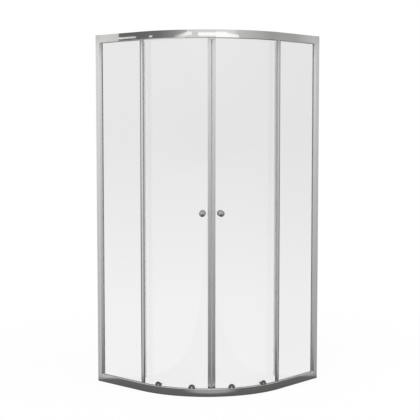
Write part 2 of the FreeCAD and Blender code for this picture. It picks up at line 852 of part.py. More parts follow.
def trailing_seal():
    """Edge profile on a door's trailing edge, with a fin out towards the fixed pane."""
    low = RAIL_HEIGHT + bottom_roller_room()
    height = HEIGHT - RAIL_HEIGHT - SEAL_END_GAP - low
    place = door_plan(DOOR_END_ANGLE, low)
    end = GRIP + TRAIL_WALL
    outer = DOOR_OUT - GRIP - TRAIL_WALL
    inner = DOOR_IN + GRIP + TRAIL_WALL
    face = section(
        place,
        (end - TRAIL_WIDTH, inner),
        (end, inner),
        (end, outer - TRAIL_FIN),
        (end - TRAIL_FIN_THICKNESS, outer - TRAIL_FIN),
        (end - TRAIL_FIN_THICKNESS, outer),
        (end - TRAIL_WIDTH, outer),
    )
    return upright(face, height).cut(door_pane(GRIP))


def drip_seal():
    """Curved channel under a door pane, with a fin that hangs to just over the rail's lip."""
    outer = DOOR_OUT - GRIP - DRIP_WALL
    inner = DOOR_IN + GRIP + DRIP_WALL
    floor = DOOR_BOTTOM - GRIP - DRIP_WALL
    middle = (DOOR_OUT + DOOR_IN) / 2
    channel = door_sweep(
        (outer, floor),
        (inner, DOOR_BOTTOM + DRIP_LEG),
        DOOR_LEAD_ANGLE,
        DOOR_END_ANGLE,
    )
    fin = door_sweep(
        (middle - DRIP_WALL / 2, floor - DRIP_FIN),
        (middle + DRIP_WALL / 2, floor),
        DOOR_LEAD_ANGLE,
        DOOR_END_ANGLE,
    )
    return channel.cut(door_pane(GRIP)).fuse(fin).removeSplitter()


def knob():
    """Mushroom knob: a foot on the washer, a hollow-waisted neck and a domed head."""
    rim_top = KNOB_HEIGHT - KNOB_CROWN
    rim_foot = rim_top - KNOB_RIM
    rim_edge = KNOB_RADIUS - KNOB_RIM / 2
    waist = (KNOB_BASE_HEIGHT + rim_foot) / 2
    bore = KNOB_BOLT_RADIUS + KNOB_BOLT_PLAY
    depth = KNOB_BOLT_GRIP + KNOB_BOLT_PLAY
    return turned(
        (bore, 0),
        (KNOB_BASE_RADIUS, 0),
        (KNOB_BASE_RADIUS, KNOB_BASE_HEIGHT),
        ((KNOB_NECK_RADIUS, waist), (rim_edge, rim_foot)),
        ((KNOB_RADIUS, (rim_foot + rim_top) / 2), (rim_edge, rim_top)),
        dome(rim_edge, rim_top, KNOB_HEIGHT),
        (0, depth),
        (bore, depth),
    )


def knob_outer():
    return on_door(knob(), KNOB_ANGLE, KNOB_FOOT, KNOB_LEVEL)


def knob_inner():
    return on_door(knob(), KNOB_ANGLE, DOOR_IN + WASHER, KNOB_LEVEL, inwards=True)


def knob_bolt():
    """Headless bolt through the pane that draws the two knobs together."""
    length = GLASS + 2 * (WASHER + KNOB_BOLT_GRIP)
    bolt = Part.makeCylinder(KNOB_BOLT_RADIUS, length)
    return on_door(bolt, KNOB_ANGLE, DOOR_IN + WASHER + KNOB_BOLT_GRIP, KNOB_LEVEL)


def washer(bore_radius):
    """Flat soft washer, its lower face at height 0."""
    ring = Part.makeCylinder(WASHER_RADIUS, WASHER)
    return ring.cut(Part.makeCylinder(bore_radius, WASHER))


def washer_pair(bore_radius, angle, level):
    """Soft washers on both faces of a door pane, which take its curve."""
    shape = washer(bore_radius)
    outer = on_door(shape, angle, DOOR_OUT, level)
    inner = on_door(shape, angle, DOOR_IN, level, inwards=True)
    return [flat.cut(door_pane()) for flat in (outer, inner)]


def knob_washers():
    return washer_pair(KNOB_BOLT_RADIUS + KNOB_BOLT_PLAY, KNOB_ANGLE, KNOB_LEVEL)


def roller_washers():
    """Washers at all four rollers of a door."""
    washers = []
    for angle, level in fitting_places()[1:]:
        washers += washer_pair(STUD_RADIUS + STUD_PLAY, angle, level)
    return washers


def wheel(radius):
    """Roller wheel, its outer side at height 0: dished web, hub bore and a pocket for the head."""
    bore = AXLE_RADIUS + AXLE_PLAY
    pocket = AXLE_HEAD_RADIUS + HEAD_POCKET_PLAY
    hub = pocket + WHEEL_DISH
    rim = radius - WHEEL_RIM
    return turned(
        (bore, -WHEEL_WIDTH),
        (radius - WHEEL_ROUND, -WHEEL_WIDTH),
        (radius, WHEEL_ROUND - WHEEL_WIDTH),
        (radius, -WHEEL_ROUND),
        (radius - WHEEL_ROUND, 0),
        (rim, 0),
        (rim - WHEEL_DISH / 2, -WHEEL_DISH),
        (hub, -WHEEL_DISH),
        (hub, 0),
        (pocket, 0),
        (pocket, -HEAD_POCKET),
        (bore, -HEAD_POCKET),
    )


def top_wheel(angle):
    return on_door(wheel(TOP_WHEEL_RADIUS), angle, WHEEL_OUT, TOP_AXLE)


def bottom_wheel(angle):
    return on_door(wheel(BOTTOM_WHEEL_RADIUS), angle, WHEEL_OUT, BOTTOM_AXLE)


def axle():
    """Stepped axle, outer side of the wheel at height 0: domed head, pin, collar and stud."""
    head_base = HEAD_POCKET_PLAY - HEAD_POCKET
    collar = -WHEEL_WIDTH - COLLAR_GAP
    seat = WHEEL_OUT - DOOR_OUT + WASHER
    stud_end = WHEEL_OUT - DOOR_IN - WASHER - CAP_NUT_BORE + STUD_PLAY
    return turned(
        (0, stud_end),
        (STUD_RADIUS, stud_end),
        (STUD_RADIUS, seat),
        (COLLAR_RADIUS, seat),
        (COLLAR_RADIUS, collar),
        (AXLE_RADIUS, collar),
        (AXLE_RADIUS, head_base),
        (AXLE_HEAD_RADIUS, head_base),
        (AXLE_HEAD_RADIUS, head_base / 2),
        dome(AXLE_HEAD_RADIUS, head_base / 2, 0),
    )


def top_roller_axles():
    return [on_door(axle(), angle, WHEEL_OUT, TOP_AXLE) for angle in ROLLER_ANGLES.values()]


def bottom_roller_axles():
    return [on_door(axle(), angle, WHEEL_OUT, BOTTOM_AXLE) for angle in ROLLER_ANGLES.values()]


def cap_nut():
    """Domed nut on the cabin side, its foot at height 0."""
    bore = STUD_RADIUS + STUD_PLAY
    shoulder = CAP_NUT_HEIGHT - CAP_NUT_CROWN
    return turned(
        (bore, 0),
        (CAP_NUT_RADIUS, 0),
        (CAP_NUT_RADIUS, shoulder),
        dome(CAP_NUT_RADIUS, shoulder, CAP_NUT_HEIGHT),
        (0, CAP_NUT_BORE),
        (bore, CAP_NUT_BORE),
    )


def roller_cap_nuts():
    """Cap nuts of all four rollers of a door."""
    depth = DOOR_IN + WASHER
    places = fitting_places()[1:]
    return [on_door(cap_nut(), angle, depth, level, inwards=True) for angle, level in places]


def save(name, shapes):
    """Write one node: a single solid, or a group of separate solids."""
    solids = shapes if isinstance(shapes, list) else [shapes]
    loose = [solid for shape in solids for solid in shape.Solids]
    shape = loose[0] if len(loose) == 1 else Part.makeCompound(loose)
    shape.exportStep(os.path.join("parts", name + ".step"))


def save_both_sides(name, shapes):
    """Write a right-hand node and its left-hand mirror image."""
    right = shapes if isinstance(shapes, list) else [shapes]
    save(name + "_right", right)
    save(name + "_left", [mirrored(shape) for shape in right])


def main():
    os.makedirs("parts", exist_ok=True)
    save("top_rail", top_rail())
    save("bottom_rail", bottom_rail())
    save("rail_connectors", rail_connectors())
    save("corner_screws", corner_screws())
    save("jamb_screws", jamb_screws())
    save("jamb_screw_covers", screw_covers())
    save("track_end_caps", track_end_caps())
    save("track_stops", track_stops())
    sided = {
        "wall_channel": wall_channel,
        "side_jamb": side_jamb,
        "jamb_cap": jamb_cap,
        "fixed_stile": fixed_stile,
        "stile_seal": stile_seal,
        "fixed_glass": fixed_glass,
        "glazing_gasket": glazing_gasket,
        "door_glass": door_glass,
        "meeting_stile": meeting_stile,
        "magnet_seal": magnet_seal,
        "trailing_seal": trailing_seal,
        "drip_seal": drip_seal,
        "knob_outer": knob_outer,
        "knob_inner": knob_inner,
        "knob_bolt": knob_bolt,
        "knob_washers": knob_washers,
        "roller_washers": roller_washers,
        "roller_cap_nuts": roller_cap_nuts,
        "top_roller_axles": top_roller_axles,
        "bottom_roller_axles": bottom_roller_axles,
    }
    for name, make in sided.items():
        save_both_sides(name, make())
    for place, angle in ROLLER_ANGLES.items():
        save_both_sides("top_wheel_" + place, top_wheel(angle))
        save_both_sides("bottom_wheel_" + place, bottom_wheel(angle))


main()
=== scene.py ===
import json
import logging
import math
from dataclasses import dataclass
from enum import Enum
from functools import cache
from typing import Sequence

import bpy
import numpy as np
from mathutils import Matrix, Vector
from mathutils.geometry import delaunay_2d_cdt


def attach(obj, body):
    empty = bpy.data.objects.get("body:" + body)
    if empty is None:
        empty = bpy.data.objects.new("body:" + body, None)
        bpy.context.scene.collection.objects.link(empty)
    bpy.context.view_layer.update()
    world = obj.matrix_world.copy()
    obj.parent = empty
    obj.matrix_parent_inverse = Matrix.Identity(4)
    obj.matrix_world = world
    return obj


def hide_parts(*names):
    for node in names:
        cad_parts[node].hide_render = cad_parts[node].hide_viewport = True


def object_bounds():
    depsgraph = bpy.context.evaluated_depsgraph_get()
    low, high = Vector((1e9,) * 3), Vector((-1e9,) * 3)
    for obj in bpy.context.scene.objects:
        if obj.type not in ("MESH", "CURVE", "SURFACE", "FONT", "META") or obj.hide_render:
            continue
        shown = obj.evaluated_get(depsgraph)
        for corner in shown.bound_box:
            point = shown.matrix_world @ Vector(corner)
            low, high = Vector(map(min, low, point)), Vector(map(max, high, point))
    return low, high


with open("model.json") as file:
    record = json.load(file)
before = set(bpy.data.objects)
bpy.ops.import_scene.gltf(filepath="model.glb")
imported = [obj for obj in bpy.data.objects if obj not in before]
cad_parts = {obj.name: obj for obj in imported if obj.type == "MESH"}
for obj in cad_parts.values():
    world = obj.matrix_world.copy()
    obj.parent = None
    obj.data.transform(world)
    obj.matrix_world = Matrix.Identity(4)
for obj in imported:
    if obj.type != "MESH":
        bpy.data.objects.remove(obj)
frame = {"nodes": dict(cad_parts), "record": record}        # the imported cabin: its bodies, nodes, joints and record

CAD_LOW, CAD_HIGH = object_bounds()
LOG = logging.getLogger("shower_cabin")

# Shapes are drawn in millimetres, as a maker draws them, and written to the mesh in metres.
METRES = 0.001
UP = np.array([0.0, 0.0, 1.0])

# Points closer together than this are one point.
SAME_POINT = 1e-6

# Steps in the arc of a rounded corner, and the distance from the arc to the point beside it that
# keeps the flat side flat.
ARC_STEPS = 4
HOLD = 0.08

# Edges sharper than this are shaded sharp.
SHARP_ANGLE = math.radians(38)

# Degrees from the plane where the doors meet to where the straight legs start.
HALF_CORNER = 45.0

# The triangulation that keeps what lies inside the border and outside the holes.
INSIDE_WITH_HOLES = 2

# A count of bounces is compared with this to tell none from one or more.
HALF_BOUNCE = 0.5

Colour = tuple[float, float, float]
Stops = tuple[tuple[float, float], ...]
Socket = bpy.types.NodeSocket
Value = Socket | float | Sequence[float]


class Side(Enum):
    """The two halves of the cabin, which mirror each other across the plane where the doors meet."""

    RIGHT = "right"
    LEFT = "left"

    def place(self, points: np.ndarray) -> np.ndarray:
        """Carry points drawn on the right-hand half to this half: (x, y) becomes (-y, -x) on the left.

        Args:
            points: an (n, 3) array drawn on the right-hand half.

        Returns:
            The points on this half.
        """
        if self is Side.RIGHT:
            return points
        return np.stack([-points[:, 1], -points[:, 0], points[:, 2]], axis=1)

    def node(self, name: str) -> str:
        """Name of this half's copy of a piece."""
        return f"{name}_{self.value}"


class Level(Enum):
    """Which of the two rails a piece belongs to."""

    TOP = "top"
    BOTTOM = "bottom"


@dataclass(frozen=True)
class Sizes:
    """Sizes that the pieces share, in millimetres. Depth is measured inwards from the outer face.

    Half is the distance from the middle of the footprint to an outer face, and tangent the offset of
    the corner's arc axis from the middle, along X and along Y. The depths that follow lead from the
    glass slot over the web, the roller lane, the rib and the door to the rail's lip. Rail end is the
    distance along a leg where the rails meet the jamb, and jamb top the level under the jambs' caps.
    """

    side: float = (CAD_HIGH.x - CAD_LOW.x) / METRES
    height: float = (CAD_HIGH.z - CAD_LOW.z) / METRES
    corner_radius: float = 537.0
    rail_height: float = 42.0
    rail_wall: float = 2.0
    rail_crown: float = 1.5
    rail_slot_depth: float = 14.0
    ledge_drop: float = 18.0
    ledge_thickness: float = 2.0
    track_lane: float = 18.7
    track_rib: float = 2.0
    track_rib_height: float = 2.0
    lip_height: float = 8.0
    glass: float = 5.0
    glass_setback: float = 12.0
    slot_gap: float = 1.3
    door_gap: float = 1.5
    lip_gap: float = 2.5
    cap_thickness: float = 3.0
    jamb_face: float = 25.5
    channel_lip: float = 12.5
    joint_line: float = 0.5
    half: float = side / 2
    tangent: float = corner_radius - half
    slot_out: float = glass_setback - slot_gap
    slot_in: float = glass_setback + glass + slot_gap
    web_in: float = slot_in + rail_wall
    rib_out: float = web_in + track_lane
    rib_in: float = rib_out + track_rib
    door_out: float = rib_in + door_gap
    door_in: float = door_out + glass
    lip_out: float = door_in + lip_gap
    rail_depth: float = lip_out + rail_wall
    rail_end: float = half - channel_lip - joint_line - jamb_face
    jamb_top: float = height - cap_thickness

    @property
    def centre(self) -> np.ndarray:
        """Plan place of the corner's arc axis."""
        return np.array([-self.tangent, self.tangent])


SIZES = Sizes()


@dataclass
class Surface:
    """A closed surface: points, faces as index lists, and one UV pair for each face corner."""

    points: np.ndarray
    faces: list[list[int]]
    corner_uv: np.ndarray

    def volume(self) -> float:
        """Signed volume: a sixth of the triple products from the origin over each face's fan of triangles.

        Returns:
            The volume, below 0 where the faces point inwards.
        """
        counts = np.array([len(face) for face in self.faces])
        total = 0.0
        for count in np.unique(counts):
            group = np.array([face for face in self.faces if len(face) == count])
            first = self.points[group[:, :1]]
            left = self.points[group[:, 1:-1]]
            right = self.points[group[:, 2:]]
            total += float(np.sum(first * np.cross(left, right))) / 6.0
        return total

    def outward(self) -> "Surface":
        """Turn the faces outwards.

        Returns:
            The same surface, its faces and their UVs in reverse order where they pointed inwards.
        """
        if self.volume() >= 0:
            return self
        starts = np.cumsum([0] + [len(face) for face in self.faces])
        spans = zip(starts, starts[1:])
        order = np.concatenate([np.arange(end - 1, start - 1, -1) for start, end in spans])
        return Surface(self.points, [face[::-1] for face in self.faces], self.corner_uv[order])

    def placed(self, side: Side) -> "Surface":
        """The surface carried to one half of the cabin, faces outwards."""
        return Surface(side.place(self.points), self.faces, self.corner_uv).outward()


def joined(surfaces: Sequence[Surface]) -> Surface:
    """Several separate surfaces as one.

    Args:
        surfaces: the closed surfaces to keep side by side.

    Returns:
        One surface with all their points and faces.
    """
    offsets = np.cumsum([0] + [len(surface.points) for surface in surfaces])
    faces = [
        [index + int(offset) for index in face]
        for surface, offset in zip(surfaces, offsets)
        for face in surface.faces
    ]
    points = np.concatenate([surface.points for surface in surfaces])
    return Surface(points, faces, np.concatenate([surface.corner_uv for surface in surfaces]))


def rounded_outline(corners: Sequence[Sequence[float]], edge: float, steps: int = ARC_STEPS) -> np.ndarray:
    """Closed outline whose corners are rounded by arcs.

    Each corner's arc is centred on the bisector of its two sides, at radius / sin(half the angle)
    from the corner, and is swept from one tangent point to the other by spherical interpolation. A
    point just before and just after each arc keeps the flat sides flat when the arcs are shaded round.

    Args:
        corners: (a, b) of each corner in order, or (a, b, its own radius). Radius 0 keeps one point.
        edge: radius of the corners that have none of their own.
        steps: number of steps in each arc.

    Returns:
        An (n, 2) array of outline points.
    """
    table = np.array([(*corner, edge)[:3] for corner in corners], float)
    point, radius = table[:, :2], table[:, 2:]
    before = np.roll(point, 1, axis=0) - point
    after = np.roll(point, -1, axis=0) - point
    before /= np.linalg.norm(before, axis=1, keepdims=True)
    after /= np.linalg.norm(after, axis=1, keepdims=True)
    half = np.arccos(np.clip(np.sum(before * after, axis=1, keepdims=True), -1, 1)) / 2
    bisector = before + after
    bisector /= np.linalg.norm(bisector, axis=1, keepdims=True)
    middle = point + bisector * radius / np.sin(half)
    start = point + before * radius / np.tan(half) - middle
    end = point + after * radius / np.tan(half) - middle
    turn = (math.pi - 2 * half)[:, :, None]
    share = np.linspace(0, 1, steps + 1)[None, :, None]
    sweep = start[:, None] * np.sin((1 - share) * turn) + end[:, None] * np.sin(share * turn)
    arc = middle[:, None] + sweep / np.sin(turn)
    hold = np.where(radius > 0, HOLD, 0.0)
    ahead = arc[:, :1] + (before * hold)[:, None]
    past = arc[:, -1:] + (after * hold)[:, None]
    outline = np.concatenate([ahead, arc, past], axis=1).reshape(-1, 2)
    apart = np.linalg.norm(outline - np.roll(outline, 1, axis=0), axis=1)
    return outline[apart > SAME_POINT]


def grid_faces(rows: int, columns: int, wrap_rows: bool) -> np.ndarray:
    """Quads of a grid of points whose columns close on themselves.

    Args:
        rows: number of rings.
        columns: points in each ring.
        wrap_rows: whether the last ring joins the first.

    Returns:
        A (q, 4) array of point indices.
    """
    row = np.arange(rows if wrap_rows else rows - 1)[:, None]
    column = np.arange(columns)[None, :]
    after = (column + 1) % columns
    below = ((row + 1) % rows) * columns
    here = row * columns
    return np.stack([here + column, here + after, below + after, below + column], axis=-1).reshape(-1, 4)


def grid_uv(run: np.ndarray, girth: np.ndarray) -> np.ndarray:
    """UV of each corner of grid_faces: the distance along the run and round the outline.

    Args:
        run: distance of each ring along the run, one more than there are rows of quads.
        girth: distance of each outline point, with the closing point added.

    Returns:
        A (4 q, 2) array in the order of the quads' corners.
    """
    low, high = np.meshgrid(run[:-1], girth[:-1], indexing="ij")
    far, past = np.meshgrid(run[1:], girth[1:], indexing="ij")
    corners = [(low, high), (low, past), (far, past), (far, high)]
    return np.stack([np.stack(pair, axis=-1) for pair in corners], axis=2).reshape(-1, 2) * METRES


def lengths_along(points: np.ndarray) -> np.ndarray:
    """Distance of each point along the line through the points."""
    return np.concatenate([[0.0], np.cumsum(np.linalg.norm(np.diff(points, axis=0), axis=1))])


def swept(outline: np.ndarray, origin: np.ndarray, across: np.ndarray, up: np.ndarray) -> Surface:
    """Outline carried along a path: point = origin + a * across + b * up at each station.

    Args:
        outline: closed outline as (a, b) pairs.
        origin: (m, 3) stations of the path.
        across: (m, 3) direction of the outline's first axis at each station, or (1, 3) for all of them.
        up: direction of its second axis, in the same way.

    Returns:
        The closed surface, with flat ends.
    """
    rings = origin[:, None] + outline[None, :, :1] * across[:, None] + outline[None, :, 1:] * up[:, None]
    rows, columns = len(origin), len(outline)
    ends = np.stack([np.arange(columns)[::-1], (rows - 1) * columns + np.arange(columns)])
    girth = lengths_along(np.vstack([outline, outline[:1]]))
    uv = grid_uv(lengths_along(origin), girth)
    end_uv = np.concatenate([outline[::-1], outline]) * METRES
    faces = grid_faces(rows, columns, wrap_rows=False).tolist() + ends.tolist()
    return Surface(rings.reshape(-1, 3), faces, np.concatenate([uv, end_uv])).outward()


def turned(profile: np.ndarray, steps: int) -> Surface:
    """Half outline turned about its axis: (r cos t, r sin t, h) for t round the full circle.

    Args:
        profile: (radius, height) pairs. The first and last lie on the axis, or the outline is a
            closed ring that stays off the axis.
        steps: number of steps round the axis.

    Returns:
        The closed surface about +Z.
    """
    closed_ring = profile[0, 0] > 0
    inner = profile if closed_ring else profile[1:-1]
    turn = np.linspace(0, 2 * math.pi, steps, endpoint=False)
    ring = np.stack([np.cos(turn), np.sin(turn), np.zeros(steps)], axis=-1)
    points = (inner[:, None, :1] * ring[None] + inner[:, None, 1:] * UP).reshape(-1, 3)
    line = np.vstack([inner, inner[:1]]) if closed_ring else inner
    girth = np.linspace(0, 2 * math.pi, steps + 1) * float(np.max(inner[:, 0]))
    uv = grid_uv(lengths_along(line), girth)
    faces = grid_faces(len(inner), steps, wrap_rows=closed_ring).tolist()
    if not closed_ring:
        column = np.arange(steps)
        after = (column + 1) % steps
        base = (len(inner) - 1) * steps
        foot, apex = len(points), len(points) + 1
        points = np.concatenate([points, profile[[0, -1], 1:] * UP])
        low = np.stack([np.full(steps, foot), after, column], axis=1)
        high = np.stack([np.full(steps, apex), base + column, base + after], axis=1)
        faces += low.tolist() + high.tolist()
        fan = np.concatenate([low, high]).ravel()
        uv = np.concatenate([uv, points[fan, :2] * METRES])
    return Surface(points, faces, uv).outward()


def arc_points(centre: np.ndarray, radius: float, start: float, end: float, steps: int) -> np.ndarray:
    """Points on a circle: centre + radius (cos t, sin t), t from start to end in degrees."""
    turn = np.radians(np.linspace(start, end, steps + 1))
    return centre + radius * np.stack([np.cos(turn), np.sin(turn)], axis=1)


def dome_points(rim_radius: float, rim_height: float, apex_height: float, steps: int) -> np.ndarray:
    """Spherical cap from its rim to its apex: the ball's radius is (r^2 + rise^2) / (2 rise).

    Args:
        rim_radius: radius of the cap's rim.
        rim_height: height of the rim.
        apex_height: height of the apex on the axis.
        steps: number of steps from rim to apex.

    Returns:
        (radius, height) pairs that end on the axis.
    """
    rise = apex_height - rim_height
    ball = (rim_radius ** 2 + rise ** 2) / (2 * rise)
    opening = np.linspace(math.asin(rim_radius / ball), 0, steps + 1)
    return np.stack([ball * np.sin(opening), apex_height - ball * (1 - np.cos(opening))], axis=1)


def radial(angle: float) -> np.ndarray:
    """Outward direction on the right-hand door at an angle from the plane where the doors meet."""
    turn = math.radians(angle - HALF_CORNER)
    return np.array([math.cos(turn), math.sin(turn), 0.0])


def on_door(shape: Surface, angle: float, depth: float, level: float, inwards: bool = False) -> Surface:
    """Place a turned shape so that its height runs out of the door, or into the cabin.

    Args:
        shape: surface about +Z.
        angle: degrees from the meeting plane.
        depth: depth of the shape's height 0.
        level: height above the floor.
        inwards: whether the height runs into the cabin.

    Returns:
        The placed surface on the right-hand door.
    """
    outward = radial(angle)
    heading = -outward if inwards else outward
    base = np.append(SIZES.centre, level) + outward * (SIZES.corner_radius - depth)
    turn = np.stack([np.cross(UP, heading), UP, heading])
    return Surface(shape.points @ turn + base, shape.faces, shape.corner_uv).outward()


def upright(outline: np.ndarray, low: float, high: float) -> Surface:
    """Plan outline on the right-hand leg, (depth, distance along Y), carried straight up."""
    origin = np.array([[SIZES.half, 0.0, low], [SIZES.half, 0.0, high]])
    return swept(outline, origin, np.array([[-1.0, 0.0, 0.0]]), np.array([[0.0, 1.0, 0.0]]))


def grey(tone: float) -> Colour:
    """Neutral colour of a tone."""
    return (tone, tone, tone)


class Wiring:
    """Short ways to add and link the nodes of a tree."""

    def __init__(self, tree: bpy.types.NodeTree) -> None:
        """Work on one node tree."""
        self.tree = tree

    def link(self, source: Socket, target: Socket) -> None:
        """Link an output to an input."""
        self.tree.links.new(source, target)

    def node(
        self, kind: str, inputs: dict[int | str, Value], output: int | str = 0, **settings: object
    ) -> Socket:
        """Add a node.

        Args:
            kind: the node's type, without the words that all shader nodes start with.
            inputs: what to link to each input, or the number to set on it, by its name or place.
            output: the output to give back, by its name or place.
            settings: the node's own settings.

        Returns:
            The named output.
        """
        node = self.tree.nodes.new("ShaderNode" + kind)
        for label, setting in settings.items():
            setattr(node, label, setting)
        for place, value in inputs.items():
            if isinstance(value, Socket):
                self.link(value, node.inputs[place])
            else:
                node.inputs[place].default_value = value
        return node.outputs[output]

    def math(self, operation: str, first: Value, second: Value) -> Socket:
        """Apply a Math operation to two values."""
        return self.node("Math", {0: first, 1: second}, operation=operation)

    def product(self, first: Socket, *others: Value) -> Socket:
        """Multiply values, in order.

        Args:
            first: the first factor.
            others: the other factors.

        Returns:
            The product.
        """
        for other in others:
            first = self.math("MULTIPLY", first, other)
        return first

    def between(self, value: Socket, low: float, high: float, start: float = 0.0, end: float = 1.0) -> Socket:
        """Map start..end of a value to low..high, clamped."""
        reach = {"From Min": start, "From Max": end, "To Min": low, "To Max": high}
        return self.node("MapRange", {"Value": value, **reach}, "Result")

    def choose(self, mask: Socket, off: Value, on: Value) -> Socket:
        """Blend two values by a mask."""
        return self.node("Mix", {0: mask, 2: off, 3: on})

    def axes(self, place: Socket) -> tuple[Socket, Socket, Socket]:
        """The three coordinates of a place."""
        return tuple(self.node("SeparateXYZ", {0: place}).node.outputs)

    def ramp(self, value: Socket, stops: Stops) -> Socket:
        """Grey ramp.

        Args:
            value: the place along the ramp.
            stops: (place, tone) of each stop, in order.

        Returns:
            The tone at that place.
        """
        found = self.node("ValToRGB", {0: value}, "Color")
        elements = found.node.color_ramp.elements
        while len(elements) < len(stops):
            elements.new(1.0)
        for element, (position, tone) in zip(elements, stops):
            element.position = position
            element.color = (*grey(tone), 1.0)
        return found

    def rays(self) -> tuple[Socket, Socket]:
        """Sort the rays that reach a surface.

        Returns:
            Masks of those that look straight or through glass, and of those that a surface mirrored.
        """
        path = self.node("LightPath", {}).node.outputs
        direct = self.math("MAXIMUM", path["Is Camera Ray"], path["Is Transmission Ray"])
        glossy = self.math("MAXIMUM", direct, path["Is Glossy Ray"])
        bounced = self.math("GREATER_THAN", path["Glossy Depth"], HALF_BOUNCE)
        return direct, self.product(bounced, glossy)


class Group(Wiring):
    """Shader node group that several finishes share, with a place and a scale as its inputs."""

    def __init__(self, name: str, place: str, scale: str, outputs: Sequence[str]) -> None:
        """Make the group's named sockets.

        Args:
            name: the group's name.
            place: name of the coordinates' input.
            scale: name of the scale's input.
            outputs: names of the value outputs.
        """
        super().__init__(bpy.data.node_groups.new(name, "ShaderNodeTree"))
        rows = [(place, "INPUT", "NodeSocketVector"), (scale, "INPUT", "NodeSocketFloat")]
        rows += [(label, "OUTPUT", "NodeSocketFloat") for label in outputs]
        for label, way, kind in rows:
            self.tree.interface.new_socket(name=label, in_out=way, socket_type=kind)
        source = self.tree.nodes.new("NodeGroupInput").outputs
        self.place = source[place]
        self.scale = source[scale]
        self.sink = self.tree.nodes.new("NodeGroupOutput").inputs


@cache
def drawn_lines() -> bpy.types.NodeTree:
    """Fine lines that a die leaves along an extrusion: noise stretched along the run.

    Returns:
        The group, with a fine Height and a broad Streak.
    """
    group = Group("drawn_lines", "Run", "Fineness", ("Height", "Streak"))
    along, across, _ = group.axes(group.place)
    slow = group.node("CombineXYZ", {"X": along, "Y": group.product(across, group.scale)})
    for label, scale, detail in (("Height", 1.0, 3.0), ("Streak", 0.12, 2.0)):
        noise = {"Vector": slow, "Scale": scale, "Detail": detail}
        group.link(group.node("TexNoise", noise, "Fac", noise_dimensions="2D"), group.sink[label])
    return group.tree


@cache
def soft_marks() -> bpy.types.NodeTree:
    """Wiped, slightly uneven gloss: two sizes of noise multiplied.

    Returns:
        The group, with its Mark.
    """
    group = Group("soft_marks", "Place", "Size", ("Mark",))
    noises = []
    for ratio in (1.0, 7.0):
        noise = {"Vector": group.place, "Scale": group.product(group.scale, ratio), "Detail": 4.0}
        noises.append(group.node("TexNoise", noise, "Fac"))
    group.link(group.product(*noises), group.sink["Mark"])
    return group.tree


@cache
def moulded_grain() -> bpy.types.NodeTree:
    """Fine matt grain of moulded plastic and rubber, and a broad cloud of tone.

    Returns:
        The group, with the grain's Height and the cloud's Tone.
    """
    group = Group("moulded_grain", "Place", "Scale", ("Height", "Tone"))
    grain = {"Vector": group.place, "Scale": group.scale, "Detail": 5.0}
    cloud = {"Vector": group.place, "Scale": 24.0}
    group.link(group.node("TexNoise", grain, "Fac"), group.sink["Height"])
    group.link(group.node("TexNoise", cloud, "Fac"), group.sink["Tone"])
    return group.tree


class Shader(Wiring):
    """Node tree of one material under construction, round its Principled shader."""

    def __init__(self, name: str) -> None:
        """Make a material with a Principled shader.

        Args:
            name: the material's name.
        """
        self.material = bpy.data.materials.new(name)
        self.material.use_nodes = True
        super().__init__(self.material.node_tree)
        self.sockets = self.tree.nodes["Principled BSDF"].inputs

    def set(self, **values: float) -> None:
        """Set constants on the shader's own sockets, by socket name with underscores."""
        for label, value in values.items():
            self.sockets[label.replace("_", " ")].default_value = value

    def group(self, tree: bpy.types.NodeTree, place: str, scale: float) -> bpy.types.NodeOutputs:
        """Place a shared group on a kind of coordinates, with its own scale, and give its outputs."""
        coordinates = self.node("TexCoord", {}, place)
        return self.node("Group", {0: coordinates, 1: scale}, node_tree=tree).node.outputs

    def gloss(self, mask: Socket, ends: tuple[float, float]) -> None:
        """Map a mask from 0..1 between the two ends of the roughness."""
        self.link(self.between(mask, *ends), self.sockets["Roughness"])

    def blend(self, mask: Socket, low: Colour, high: Colour) -> None:
        """Blend two colours by a mask into the base colour."""
        colour = self.node("Mix", {0: mask, 6: (*low, 1.0), 7: (*high, 1.0)}, 2, data_type="RGBA")
        self.link(colour, self.sockets["Base Color"])

    def bump(self, height: Socket, strength: float, distance: float) -> None:
        """Bump the normal by a height."""
        normal = self.node("Bump", {"Height": height, "Strength": strength, "Distance": distance})
        self.link(normal, self.sockets["Normal"])


@dataclass(frozen=True)
class DrawnMetal:
    """Extruded aluminium: die lines along the run and an uneven, wiped gloss."""

    name: str
    dark: Colour
    light: Colour
    gloss: tuple[float, float]
    line_strength: float
    line_depth: float = 0.00005
    fineness: float = 2400.0
    mark_size: float = 11.0

    def build(self) -> bpy.types.Material:
        """Make the material.

        Returns:
            The material.
        """
        shader = Shader(self.name)
        shader.set(Metallic=1.0)
        lines = shader.group(drawn_lines(), "UV", self.fineness)
        marks = shader.group(soft_marks(), "Object", self.mark_size)
        shader.blend(lines["Streak"], self.dark, self.light)
        shader.gloss(marks["Mark"], self.gloss)
        shader.bump(lines["Height"], self.line_strength, self.line_depth)
        return shader.material


@dataclass(frozen=True)
class PlainMetal:
    """Turned or plated metal with a wiped gloss, on Object coordinates."""

    name: str
    dark: Colour
    light: Colour
    gloss: tuple[float, float]
    mark_size: float = 60.0

    def build(self) -> bpy.types.Material:
        """Make the material.

        Returns:
            The material.
        """
        shader = Shader(self.name)
        shader.set(Metallic=1.0)
        marks = shader.group(soft_marks(), "Object", self.mark_size)
        shader.blend(marks["Mark"], self.dark, self.light)
        shader.gloss(marks["Mark"], self.gloss)
        return shader.material


